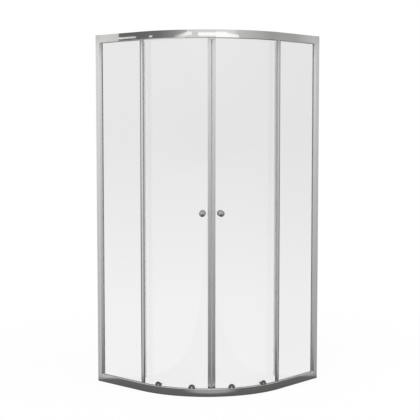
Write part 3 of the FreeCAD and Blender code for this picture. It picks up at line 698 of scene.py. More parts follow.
@dataclass(frozen=True)
class Moulded:
    """Moulded plastic or rubber with a fine grain."""

    name: str
    dark: Colour
    light: Colour
    gloss: tuple[float, float]
    grain: float = 0.25
    see_through: float = 0.0
    ior: float = 1.46
    grain_scale: float = 900.0
    grain_depth: float = 0.0001

    def build(self) -> bpy.types.Material:
        """Make the material.

        Returns:
            The material.
        """
        shader = Shader(self.name)
        shader.set(Transmission_Weight=self.see_through, IOR=self.ior)
        grain = shader.group(moulded_grain(), "Object", self.grain_scale)
        shader.blend(grain["Tone"], self.dark, self.light)
        shader.gloss(grain["Tone"], self.gloss)
        shader.bump(grain["Height"], self.grain, self.grain_depth)
        return shader.material


@dataclass(frozen=True)
class ClearGlass:
    """Clear toughened glass with a faint tint, and painted shade that makes it greyer from a height up, fading
    towards the floor.
    """

    name: str
    painted_top_shade: Colour
    low_tint: Colour
    fade_height: float = 1.35
    ior: float = 1.5

    def build(self) -> bpy.types.Material:
        """Make the material.

        Returns:
            The material.
        """
        shader = Shader(self.name)
        shader.set(Transmission_Weight=1.0, IOR=self.ior, Roughness=0.0, Metallic=0.0)
        # Painted shade: the base colour greys with the height, from the faint low tint at the floor to the darker top
        # shade at the fade height.
        height = shader.axes(shader.node("TexCoord", {}, "Object"))[2]
        rise = shader.between(height, 0.0, 1.0, 0.0, self.fade_height)
        shader.blend(rise, self.low_tint, self.painted_top_shade)
        return shader.material


FINISHES: tuple[DrawnMetal | PlainMetal | Moulded | ClearGlass, ...] = (
    DrawnMetal("rail_metal", (0.80, 0.80, 0.79), (0.90, 0.90, 0.89), (0.03, 0.10), 0.02),
    DrawnMetal("upright_metal", (0.74, 0.74, 0.73), (0.84, 0.84, 0.83), (0.20, 0.34), 0.12),
    # The pane glass is painted greyer towards the top: painted shade, not a colour of the glass.
    ClearGlass("pane_glass", painted_top_shade=grey(0.80), low_tint=grey(0.97)),
    Moulded("gasket_rubber", grey(0.34), grey(0.42), (0.55, 0.75)),
    Moulded("soft_seal", (0.88, 0.89, 0.89), grey(0.94), (0.05, 0.12),
            grain=0.02, see_through=0.95, ior=1.15),
    Moulded("magnet_strip", grey(0.30), grey(0.38), (0.45, 0.6)),
    Moulded("moulded_plastic", grey(0.30), grey(0.38), (0.4, 0.55)),
    Moulded("wheel_plastic", grey(0.07), grey(0.11), (0.3, 0.45)),
    Moulded("clear_washer", (0.80, 0.81, 0.81), grey(0.88), (0.2, 0.35), grain=0.1, see_through=0.6),
    PlainMetal("knob_chrome", grey(0.40), grey(0.50), (0.03, 0.10)),
    PlainMetal("screw_steel", (0.60, 0.60, 0.59), (0.72, 0.72, 0.71), (0.2, 0.35)),
)


def new_object(name: str, data: bpy.types.ID) -> bpy.types.Object:
    """Put a mesh, camera or lamp into the scene.

    Args:
        name: the object's name.
        data: what it shows.

    Returns:
        The object.
    """
    made = bpy.data.objects.new(name, data)
    bpy.context.scene.collection.objects.link(made)
    return made


class Wardrobe:
    """Builds each finish once and dresses pieces with it."""

    def __init__(self) -> None:
        """Make every material and look up each node's slot and body."""
        record = frame["record"]
        self.materials = {finish.name: finish.build() for finish in FINISHES}
        self.slots = {row["node"]: row["material_slot"] for row in record["subparts"]}
        bodies = record["behaviour"]["bodies"]
        self.bodies = {node: body for body, members in bodies.items() for node in members}

    def dress_node(self, node: str) -> None:
        """Give a CAD piece that stays its finish.

        Args:
            node: the CAD piece's name.
        """
        piece = frame["nodes"][node]
        material = self.materials[self.slots[node]]
        if not piece.material_slots:
            piece.data.materials.append(material)
        for slot in piece.material_slots:
            slot.material = material
        LOG.info("dressed %s", node)

    def stand_in(self, node: str, surface: Surface) -> None:
        """Write a finer surface for a CAD piece, which it then stands for, on the piece's body.

        Args:
            node: the CAD piece's name.
            surface: its shape in millimetres, at rest.
        """
        mesh = bpy.data.meshes.new(node + "_fine")
        mesh.from_pydata((surface.points * METRES).tolist(), [], surface.faces)
        layer = mesh.uv_layers.new(name="run")
        layer.data.foreach_set("uv", surface.corner_uv.astype(np.float32).ravel())
        mesh.polygons.foreach_set("use_smooth", np.ones(len(mesh.polygons), bool))
        mesh.set_sharp_from_angle(angle=SHARP_ANGLE)
        mesh.materials.append(self.materials[self.slots[node]])
        mesh.validate()
        piece = new_object(node + "_fine", mesh)
        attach(piece, self.bodies[node])
        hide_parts(node)
        LOG.info("built %s with %d faces", piece.name, len(mesh.polygons))


@dataclass
class Rails:
    """The two bent rails: straight, quarter round, straight."""

    edge: float = 0.35
    crown_steps: int = 8
    bend_steps: int = 120

    def outline(self, level: Level) -> np.ndarray:
        """Section of a rail, its closed plate at level 0.

        Args:
            level: which rail, because the roller track differs.

        Returns:
            The outline as (depth, level).
        """
        s = SIZES
        floor = s.rail_height - s.rail_slot_depth
        if level is Level.BOTTOM:
            ledge = s.rail_height - s.ledge_drop
            low, rib = ledge - s.ledge_thickness, ledge + s.track_rib_height
            track = [(s.web_in, low), (s.rib_in, low), (s.rib_in, rib), (s.rib_out, rib),
                     (s.rib_out, ledge), (s.web_in, ledge), (s.web_in, s.rail_height)]
        else:
            upper = s.rail_height - s.ledge_thickness
            rib = upper - s.track_rib_height
            track = [(s.web_in, upper), (s.rib_out, upper), (s.rib_out, rib), (s.rib_in, rib),
                     (s.rib_in, s.rail_height)]
        corners = [
            (0, 0), (s.rail_depth, 0), (s.rail_depth, s.lip_height), (s.lip_out, s.lip_height),
            (s.lip_out, s.rail_wall), (s.web_in, s.rail_wall), *track, (s.slot_in, s.rail_height),
            (s.slot_in, floor), (s.slot_out, floor), (s.slot_out, s.rail_height),
            (0, s.rail_height, s.rail_crown),
        ]
        return rounded_outline(corners, self.edge, self.crown_steps)

    def surface(self, level: Level) -> Surface:
        """Carry the section along a leg, round the corner's arc and along the other leg.

        Args:
            level: which rail. The top one hangs upside down.

        Returns:
            The rail.
        """
        s = SIZES
        turn = np.radians(np.linspace(0, -2 * HALF_CORNER, self.bend_steps + 1))
        outward = np.stack([np.cos(turn), np.sin(turn), np.zeros_like(turn)], axis=1)
        bend = np.append(s.centre, 0.0) + s.corner_radius * outward
        origin = np.vstack([[s.half, s.rail_end, 0], bend, [-s.rail_end, -s.half, 0]])
        inward = -np.vstack([outward[:1], outward, outward[-1:]])
        outline = self.outline(level)
        if level is Level.TOP:
            outline = outline * [1.0, -1.0] + [0.0, s.height]
        return swept(outline, origin, inward, UP[None])

    def build(self, wardrobe: Wardrobe) -> None:
        """Write both rails."""
        for level in Level:
            wardrobe.stand_in(f"{level.value}_rail", self.surface(level))


@dataclass
class WallSide:
    """One flat side: wall channel, jamb, fixed pane and the stile at its open end."""

    side: Side
    edge: float = 0.3
    channel_wall: float = 2.0
    inner_flange: float = 24.5
    channel_play: float = 0.5
    jamb_depth: float = 21.5
    jamb_tongue: float = 5.5
    jamb_slot_depth: float = 10.0
    jamb_round: float = 1.0
    jamb_bevel: float = 8.0
    jamb_lip: float = 2.2
    stile_width: float = 25.0
    stile_back_from_bend: float = 8.0
    stile_setback: float = 3.0
    stile_crown: float = 0.4
    stile_bevel: float = 13.0
    stile_lip: float = 2.2
    stile_slot_depth: float = 10.0
    stile_chamfer: float = 6.0
    seal_root_width: float = 5.0
    seal_root_depth: float = 2.0
    seal_root_inset: float = 2.0
    gasket_room: float = 2.0
    crown_points: int = 9

    def channel(self) -> Surface:
        """U channel on the wall: a short outer flange and a longer inner one.

        Returns:
            The channel.
        """
        wall, far = self.channel_wall, SIZES.half
        deep = self.jamb_depth + self.channel_play + wall
        inner, outer, back = far - self.inner_flange, far - SIZES.channel_lip, far - wall
        corners = [(0, far), (deep, far), (deep, inner), (deep - wall, inner), (deep - wall, back),
                   (wall, back), (wall, outer), (0, outer)]
        return upright(rounded_outline(corners, self.edge), 0, SIZES.jamb_top)

    def jamb_outline(self, nose: Sequence[Sequence[float]]) -> np.ndarray:
        """Plan of the jamb: its nose beside the glass, flush face, tongue in the channel and glass slot.

        Args:
            nose: the corners beside the glass.

        Returns:
            The outline as (depth, distance along the leg).
        """
        s, near = SIZES, SIZES.rail_end
        face_end = near + s.jamb_face
        tongue = face_end + self.jamb_tongue
        step = self.channel_wall + s.joint_line
        slot = near + self.jamb_slot_depth
        corners = [
            *nose, (0, face_end), (step, face_end), (step, tongue), (self.jamb_depth, tongue),
            (self.jamb_depth, near), (s.slot_in, near), (s.slot_in, slot), (s.slot_out, slot),
            (s.slot_out, near),
        ]
        return rounded_outline(corners, self.edge)

    def jamb(self) -> Surface:
        """Upright beside the wall: square where the rails meet it, with a bevel to the glass between them.

        Returns:
            The jamb, in three stretches.
        """
        s, near = SIZES, SIZES.rail_end
        high = s.height - s.rail_height
        square = self.jamb_outline([(0, near, self.jamb_round)])
        bevelled = self.jamb_outline([(s.slot_out - self.jamb_lip, near), (0, near + self.jamb_bevel)])
        stretches = ((square, 0, s.rail_height), (bevelled, s.rail_height, high), (square, high, s.jamb_top))
        return joined([upright(*stretch) for stretch in stretches])

    def stile(self) -> Surface:
        """Upright at the fixed pane's open end: a parabola of the crown's rise, and a bevel to the glass.

        Returns:
            The stile.
        """
        s = SIZES
        near = s.tangent + self.stile_back_from_bend
        far = near - self.stile_width
        crest = near - self.stile_bevel
        deep = s.slot_in + s.rail_wall
        slot = near - self.stile_slot_depth
        share = np.linspace(-1, 1, self.crown_points)
        along = (crest + far) / 2 - share * (crest - far) / 2
        depth = self.stile_setback + self.stile_crown * share ** 2
        face = np.stack([depth, along, self.edge * (np.abs(share) == 1)], axis=1)
        root_low = far + self.stile_chamfer + self.seal_root_inset
        root_high = root_low + self.seal_root_width
        back = deep - self.seal_root_depth
        corners = [
            (s.slot_out - self.stile_lip, near), *face, (deep - self.stile_chamfer, far),
            (deep, far + self.stile_chamfer), (deep, root_low), (back, root_low), (back, root_high),
            (deep, root_high), (deep, near), (s.slot_in, near), (s.slot_in, slot), (s.slot_out, slot),
            (s.slot_out, near),
        ]
        return upright(rounded_outline(corners, self.edge), s.rail_height, s.height - s.rail_height)

    def pane(self) -> Surface:
        """Flat pane with eased edges, seated in the four slots.

        Returns:
            The pane.
        """
        s = SIZES
        low = s.tangent + self.stile_back_from_bend - self.stile_slot_depth + self.gasket_room
        high = s.rail_end + self.jamb_slot_depth - self.gasket_room
        bottom = s.rail_height - s.rail_slot_depth + self.gasket_room
        outer, inner = s.glass_setback, s.glass_setback + s.glass
        corners = [(outer, low), (outer, high), (inner, high), (inner, low)]
        return upright(rounded_outline(corners, self.edge), bottom, s.height - bottom)

    def build(self, wardrobe: Wardrobe) -> None:
        """Write the side's uprights and pane, and dress its trim.

        Args:
            wardrobe: what dresses them.
        """
        made = {"wall_channel": self.channel, "side_jamb": self.jamb, "fixed_stile": self.stile,
                "fixed_glass": self.pane}
        for name, make in made.items():
            wardrobe.stand_in(self.side.node(name), make().placed(self.side))
        for name in ("jamb_cap", "stile_seal", "glazing_gasket"):
            wardrobe.dress_node(self.side.node(name))


@dataclass
class Door:
    """One curved sliding door with its stile, knobs and rollers."""

    side: Side
    edge: float = 0.3
    overlap: float = 20.0
    lead: float = 7.0
    top_gap: float = 12.0
    bottom_gap: float = 14.0
    hole_radius: float = 5.0
    hole_clearance: float = 1.5
    hole_steps: int = 32
    column_step: float = 9.0
    row_step: float = 60.0
    washer: float = 1.0
    meeting_gap: float = 0.3
    magnet_width: float = 2.0
    magnet_root: float = 2.7
    magnet_root_depth: float = 2.8
    meeting_width: float = 18.0
    meeting_wall: float = 2.2
    meeting_round: float = 2.0
    meeting_end_gap: float = 2.0
    grip: float = 0.15
    knob_angle: float = 5.7
    knob_level: float = 983.0
    knob_radius: float = 17.5
    knob_height: float = 28.0
    knob_base_radius: float = 10.5
    knob_base_height: float = 3.0
    knob_neck_radius: float = 7.0
    knob_neck_points: int = 15
    knob_crown: float = 9.0
    knob_rim: float = 4.0
    knob_rim_turn: float = 80.0
    lead_angle: float = 12.1
    trail_angle: float = 34.0
    top_wheel_radius: float = 10.0
    bottom_wheel_radius: float = 18.5
    wheel_width: float = 4.5
    wheel_round: float = 0.6
    wheel_side_gap: float = 0.9
    roll_gap: float = 0.3
    wheel_dish: float = 0.9
    wheel_rim: float = 2.6
    hub_slope: float = 0.1
    axle_radius: float = 2.5
    axle_play: float = 0.08
    head_radius: float = 5.0
    head_height: float = 1.7
    pocket_play: float = 0.4
    collar_radius: float = 5.8
    collar_gap: float = 0.5
    stud_radius: float = 3.0
    cap_nut_radius: float = 6.5
    cap_nut_height: float = 6.5
    cap_nut_crown: float = 1.6
    knob_steps: int = 10
    dome_steps: int = 8
    turn_steps: int = 64

    def axle_level(self, level: Level) -> float:
        """Height of a row of rollers above the floor.

        Args:
            level: the rail that they run on.

        Returns:
            The height.
        """
        s = SIZES
        if level is Level.BOTTOM:
            return s.rail_height - s.ledge_drop + self.roll_gap + self.bottom_wheel_radius
        return s.height - s.rail_height + s.ledge_thickness + self.roll_gap + self.top_wheel_radius

    def roller_places(self) -> list[tuple[float, float]]:
        """Angle and level of the four rollers."""
        angles = (self.lead_angle, self.trail_angle)
        return [(angle, self.axle_level(level)) for angle in angles for level in Level]

    def pane(self) -> Surface:
        """Curved pane: a flat plan of (run, level) with five holes, bent to the door's radius.

        The plan is triangulated over a regular grid of points. A run of u lies at the angle
        u / radius from the meeting plane, at the outer radius on one face and the inner on the other.

        Returns:
            The pane.
        """
        s = SIZES
        radius = s.corner_radius - s.door_out
        corner = math.radians(HALF_CORNER)
        places = [(self.knob_angle, self.knob_level), *self.roller_places()]
        holes = np.array([(math.radians(angle) * radius, level) for angle, level in places])
        run = (self.lead, corner * radius + self.overlap)
        plan, triangles = self.drilled_plan(run, (self.bottom_gap, s.height - self.top_gap), holes)
        angle = plan[:, 0] / radius - corner
        round_out = np.stack([np.cos(angle), np.sin(angle)], axis=1)
        skins = [np.column_stack([s.centre + round_out * r, plan[:, 1]]) for r in (radius, radius - s.glass)]
        count = len(plan)
        sides = np.concatenate([triangles[:, [0, 1]], triangles[:, [1, 2]], triangles[:, [2, 0]]])
        _, first, uses = np.unique(np.sort(sides, axis=1), axis=0, return_index=True, return_counts=True)
        rim = sides[first[uses == 1]]
        walls = np.stack([rim[:, 1], rim[:, 0], rim[:, 0] + count, rim[:, 1] + count], axis=1)
        back = triangles[:, ::-1] + count
        faces = triangles.tolist() + back.tolist() + walls.tolist()
        both = np.concatenate([plan, plan]) * METRES
        uv = np.concatenate([both[part.ravel()] for part in (triangles, back, walls)])
        return Surface(np.concatenate(skins), faces, uv).outward()

    def drilled_plan(
        self, run: tuple[float, float], level: tuple[float, float], holes: np.ndarray
    ) -> tuple[np.ndarray, np.ndarray]:
        """Triangulate a rectangle with round holes.

        Args:
            run: first and last run of the rectangle.
            level: first and last level.
            holes: (h, 2) centres of the holes.

        Returns:
            The points as (run, level), and the triangles.
        """
        columns = np.linspace(*run, int((run[1] - run[0]) / self.column_step) + 1)
        rows = np.linspace(*level, int((level[1] - level[0]) / self.row_step) + 1)
        edge = np.concatenate([
            np.stack([columns, np.full_like(columns, level[0])], axis=1)[:-1],
            np.stack([np.full_like(rows, run[1]), rows], axis=1)[:-1],
            np.stack([columns[::-1], np.full_like(columns, level[1])], axis=1)[:-1],
            np.stack([np.full_like(rows, run[0]), rows[::-1]], axis=1)[:-1],
        ])
        circle = arc_points(np.zeros(2), self.hole_radius, 0, 360, self.hole_steps)[:-1]
        rings = (holes[:, None] + circle[None]).reshape(-1, 2)
        inside = np.stack(np.meshgrid(columns[1:-1], rows[1:-1]), axis=-1).reshape(-1, 2)
        apart = np.linalg.norm(inside[:, None] - holes[None], axis=2).min(axis=1)
        inside = inside[apart > self.hole_radius * self.hole_clearance]
        loops = [np.arange(len(edge)), *(len(edge) + np.arange(len(rings)).reshape(len(holes), -1))]
        borders = np.concatenate([np.stack([loop, np.roll(loop, -1)], axis=1) for loop in loops])
        found = delaunay_2d_cdt(
            [Vector(point) for point in np.concatenate([edge, rings, inside]).tolist()],
            [tuple(pair) for pair in borders.tolist()], [], INSIDE_WITH_HOLES, SAME_POINT,
        )
        return np.array([tuple(point) for point in found[0]]), np.array(found[2])

    def meeting_stile(self) -> Surface:
        """Upright on the leading edge that grips the curved pane and holds the magnet seal.

        Its grip follows the pane, which bows inwards by run^2 / (2 radius).

        Returns:
            The stile.
        """
        s = SIZES
        front = self.meeting_gap + self.magnet_width
        back = front + self.meeting_width
        outer_grip, inner_grip = s.door_out - self.grip, s.door_in + self.grip
        outer, inner = outer_grip - self.meeting_wall, inner_grip + self.meeting_wall
        middle = (s.door_out + s.door_in) / 2
        groove = self.magnet_root_depth / 2 + self.grip
        groove_end = front + self.magnet_root + self.grip
        seat = self.lead - self.grip
        radius = s.corner_radius - s.door_out
        bow_seat, bow_back = seat ** 2 / (2 * radius), back ** 2 / (2 * radius)
        corners = [
            (front, outer, self.meeting_round), (back, outer, self.meeting_round),
            (back, outer_grip + bow_back), (seat, outer_grip + bow_seat),
            (seat, inner_grip + bow_seat), (back, inner_grip + bow_back),
            (back, inner, self.meeting_round / 2), (front, inner, self.meeting_round),
            (front, middle + groove), (groove_end, middle + groove),
            (groove_end, middle - groove), (front, middle - groove),
        ]
        low = s.rail_height - s.ledge_drop + s.track_rib_height + self.meeting_end_gap
        high = s.height - s.rail_height - self.meeting_end_gap
        outward = radial(0.0)
        past = np.array([[-outward[1], outward[0], 0.0]])
        base = np.append(s.centre, 0.0) + outward * s.corner_radius
        origin = base + np.array([[0, 0, low], [0, 0, high]])
        return swept(rounded_outline(corners, self.edge), origin, past, -outward[None])

    def foot(self, radius: float, height: float) -> np.ndarray:
        """Half outline of a round foot with eased edges, from the axis up to a height."""
        ease = self.edge
        return np.array([[0, 0], [radius - ease, 0], [radius, ease], [radius, height - ease]])

    def knob(self) -> Surface:
        """Mushroom knob: a foot, a hollow-waisted neck, a round rim and a domed head.

        The neck is an arc through its waist, and the rim an arc through the widest point.

        Returns:
            The knob about +Z, its foot at height 0.
        """
        rim_top = self.knob_height - self.knob_crown
        rim_foot = rim_top - self.knob_rim
        rim_edge = self.knob_radius - self.knob_rim / 2
        share = np.linspace(0, 1, self.knob_neck_points)[:, None]
        start = np.array([self.knob_base_radius - self.edge, self.knob_base_height])
        end = np.array([rim_edge, rim_foot])
        waist = np.array([self.knob_neck_radius, (start[1] + end[1]) / 2])
        bend = 2 * waist - (start + end) / 2
        neck = (1 - share) ** 2 * start + 2 * share * (1 - share) * bend + share ** 2 * end
        middle = np.array([rim_edge, (rim_foot + rim_top) / 2])
        rim = arc_points(middle, self.knob_rim / 2, -self.knob_rim_turn, self.knob_rim_turn, self.knob_steps)
        head = dome_points(rim_edge, rim_top, self.knob_height, self.knob_steps)
        foot = self.foot(self.knob_base_radius, self.knob_base_height)
        return turned(np.concatenate([foot, neck, rim, head]), self.turn_steps)

    def wheel(self, radius: float) -> Surface:
        """Roller wheel: round tread, dished web and a pocket for the axle's head.

        Args:
            radius: radius of its tread.

        Returns:
            The wheel about +Z, its outer side at height 0.
        """
        ease = self.edge / 2
        bore = self.axle_radius + self.axle_play
        pocket = self.head_radius + self.pocket_play
        hub = pocket + self.wheel_dish
        rim = radius - self.wheel_rim
        deep = self.head_height + self.pocket_play
        corners = [
            (bore, -self.wheel_width), (radius, -self.wheel_width, self.wheel_round),
            (radius, 0, self.wheel_round), (rim, 0), (rim - self.wheel_dish / 2, -self.wheel_dish, ease),
            (hub + self.hub_slope, -self.wheel_dish, ease), (hub, 0), (pocket, 0, ease),
            (pocket, -deep, ease), (bore, -deep, ease),
        ]
        return turned(rounded_outline(corners, self.edge), self.turn_steps)

    def axle(self) -> Surface:
        """Stepped axle: domed head, pin, collar and stud.

        Returns:
            The axle about +Z, the wheel's outer side at height 0.
        """
        s = SIZES
        wheel_out = s.web_in + self.wheel_side_gap
        base = -self.head_height
        collar = -self.wheel_width - self.collar_gap
        seat = wheel_out - s.door_out + self.washer
        tip = wheel_out - s.door_in - self.washer - self.cap_nut_height / 2
        steps = np.array([
            [0, tip], [self.stud_radius, tip], [self.stud_radius, seat], [self.collar_radius, seat],
            [self.collar_radius, collar], [self.axle_radius, collar], [self.axle_radius, base],
            [self.head_radius, base], [self.head_radius, base / 2],
        ])
        dome = dome_points(self.head_radius, base / 2, 0, self.dome_steps)[1:]
        return turned(np.concatenate([steps, dome]), self.turn_steps)

    def cap_nut(self) -> Surface:
        """Domed nut on the cabin side.

        Returns:
            The nut about +Z, its foot at height 0.
        """
        shoulder = self.cap_nut_height - self.cap_nut_crown
        rim = self.cap_nut_radius - self.edge / 2
        dome = dome_points(rim, shoulder, self.cap_nut_height, self.dome_steps)
        return turned(np.concatenate([self.foot(self.cap_nut_radius, shoulder), dome]), self.turn_steps)

    def build(self, wardrobe: Wardrobe) -> None:
        """Write the door's pieces, and dress its seals and small trim.

        Args:
            wardrobe: what dresses them.
        """
        s = SIZES
        wheel_out = s.web_in + self.wheel_side_gap
        knob = self.knob()
        nut_depth = s.door_in + self.washer
        nuts = [on_door(self.cap_nut(), angle, nut_depth, level, inwards=True)
                for angle, level in self.roller_places()]
        made = {
            "door_glass": self.pane(),
            "meeting_stile": self.meeting_stile(),
            "knob_outer": on_door(knob, self.knob_angle, s.door_out - self.washer, self.knob_level),
            "knob_inner": on_door(knob, self.knob_angle, nut_depth, self.knob_level, inwards=True),
            "roller_cap_nuts": joined(nuts),
        }
        rows = {Level.TOP: self.top_wheel_radius, Level.BOTTOM: self.bottom_wheel_radius}
        ends = {"lead": self.lead_angle, "trail": self.trail_angle}
        for level, radius in rows.items():
            height = self.axle_level(level)
            axles = [on_door(self.axle(), angle, wheel_out, height) for angle in ends.values()]
            made[f"{level.value}_roller_axles"] = joined(axles)
            for end, angle in ends.items():
                made[f"{level.value}_wheel_{end}"] = on_door(self.wheel(radius), angle, wheel_out, height)
        for name, surface in made.items():
            wardrobe.stand_in(self.side.node(name), surface.placed(self.side))
        for name in ("magnet_seal", "trailing_seal", "drip_seal", "knob_bolt", "knob_washers",
                     "roller_washers"):
            wardrobe.dress_node(self.side.node(name))


def bare_material(name: str) -> tuple[bpy.types.Material, Wiring]:
    """Material for the studio that has no shader yet.

    Args:
        name: the material's name.

    Returns:
        The material, and its tree's wiring.
    """
    material = bpy.data.materials.new(name)
    material.use_nodes = True
    material.node_tree.nodes.remove(material.node_tree.nodes["Principled BSDF"])
    return material, Wiring(material.node_tree)


@dataclass(frozen=True)
class Card:
    """Curved card round the cabin that only reflections show, as a photographer hangs one.

    Angles are degrees about the corner's arc axis, heights are metres, tones its brightness at its ends.
    Rise is how much higher its end hangs than its start. Lamps hang just in front of the flags.
    """

    name: str
    start: float
    end: float
    tone: float
    end_tone: float
    low: float = 1.95
    high: float = 2.30
    rise: float = 0.0
    distance: float = 1.1
    steps: int = 48

    def build(self) -> None:
        """Make the card: place = axis + distance (cos t, sin t), with t and the height on a grid."""
        share = np.linspace(0, 1, self.steps + 1)
        plan = arc_points(SIZES.centre * METRES, self.distance, self.start, self.end, self.steps)
        points = [np.column_stack([plan, height + self.rise * share]) for height in (self.low, self.high)]
        lower = np.arange(self.steps)
        upper = lower + self.steps + 1
        faces = np.stack([lower, lower + 1, upper + 1, upper], axis=1)
        mesh = bpy.data.meshes.new(self.name)
        mesh.from_pydata(np.concatenate(points).tolist(), [], faces.tolist())
        tones = self.tone + (self.end_tone - self.tone) * np.concatenate([share, share])
        mesh.attributes.new("tone", "FLOAT", "POINT").data.foreach_set("value", tones.astype(np.float32))
        material, sheet = bare_material(self.name)
        stored = sheet.node("Attribute", {}, "Fac", attribute_name="tone")
        light = sheet.node("Emission", {"Strength": stored})
        sheet.link(light, sheet.tree.nodes["Material Output"].inputs["Surface"])
        mesh.materials.append(material)
        card = new_object(self.name, mesh)
        card.visible_camera = False
        card.visible_diffuse = False
        card.visible_transmission = False
        card.visible_volume_scatter = False
        card.visible_shadow = False


CARDS: tuple[Card, ...] = (
    Card("left_flag", -132.0, -121.9, 0.76, 0.66),
    Card("dark_flag", -121.9, -92.0, 0.14, 0.17),
    Card("dim_flag", -92.0, -77.0, 0.17, 0.28),
    Card("rising_flag", -77.0, -65.5, 0.28, 0.46),
    Card("pale_flag", -65.5, -25.0, 0.70, 0.76),
    Card("pale_flag_end", -25.0, -19.5, 0.76, 0.58),
    Card("grey_flag", -19.5, 16.0, 0.58, 0.37),
    Card("right_flag", 16.0, 34.0, 0.37, 0.40),
    Card("end_flag", 34.0, 46.0, 0.40, 0.70),
    Card("strip_lamp", -121.9, -116.0, 1.0, 0.80, low=1.9645, high=1.9730, rise=0.006, distance=1.09),
    Card("small_lamp_left", -103.2, -99.3, 0.9, 0.9, low=1.968, high=1.976, distance=1.09),
    Card("small_lamp_middle", -77.0, -64.9, 0.45, 1.05, low=1.940, high=1.964, rise=0.024, distance=1.09),
    Card("small_lamp_right", -65.5, -61.0, 1.05, 1.05, low=1.969, high=1.987, distance=1.09),
    Card("front_lamp", -55.5, -40.0, 1.15, 1.15, low=1.963, high=1.983, distance=1.09),
    Card("front_lamp_middle", -40.0, -30.5, 1.15, 1.15, low=1.950, high=1.987, distance=1.09),
    Card("front_lamp_end", -30.5, -19.5, 1.15, 1.05, low=1.950, high=1.982, rise=-0.012, distance=1.09),
)


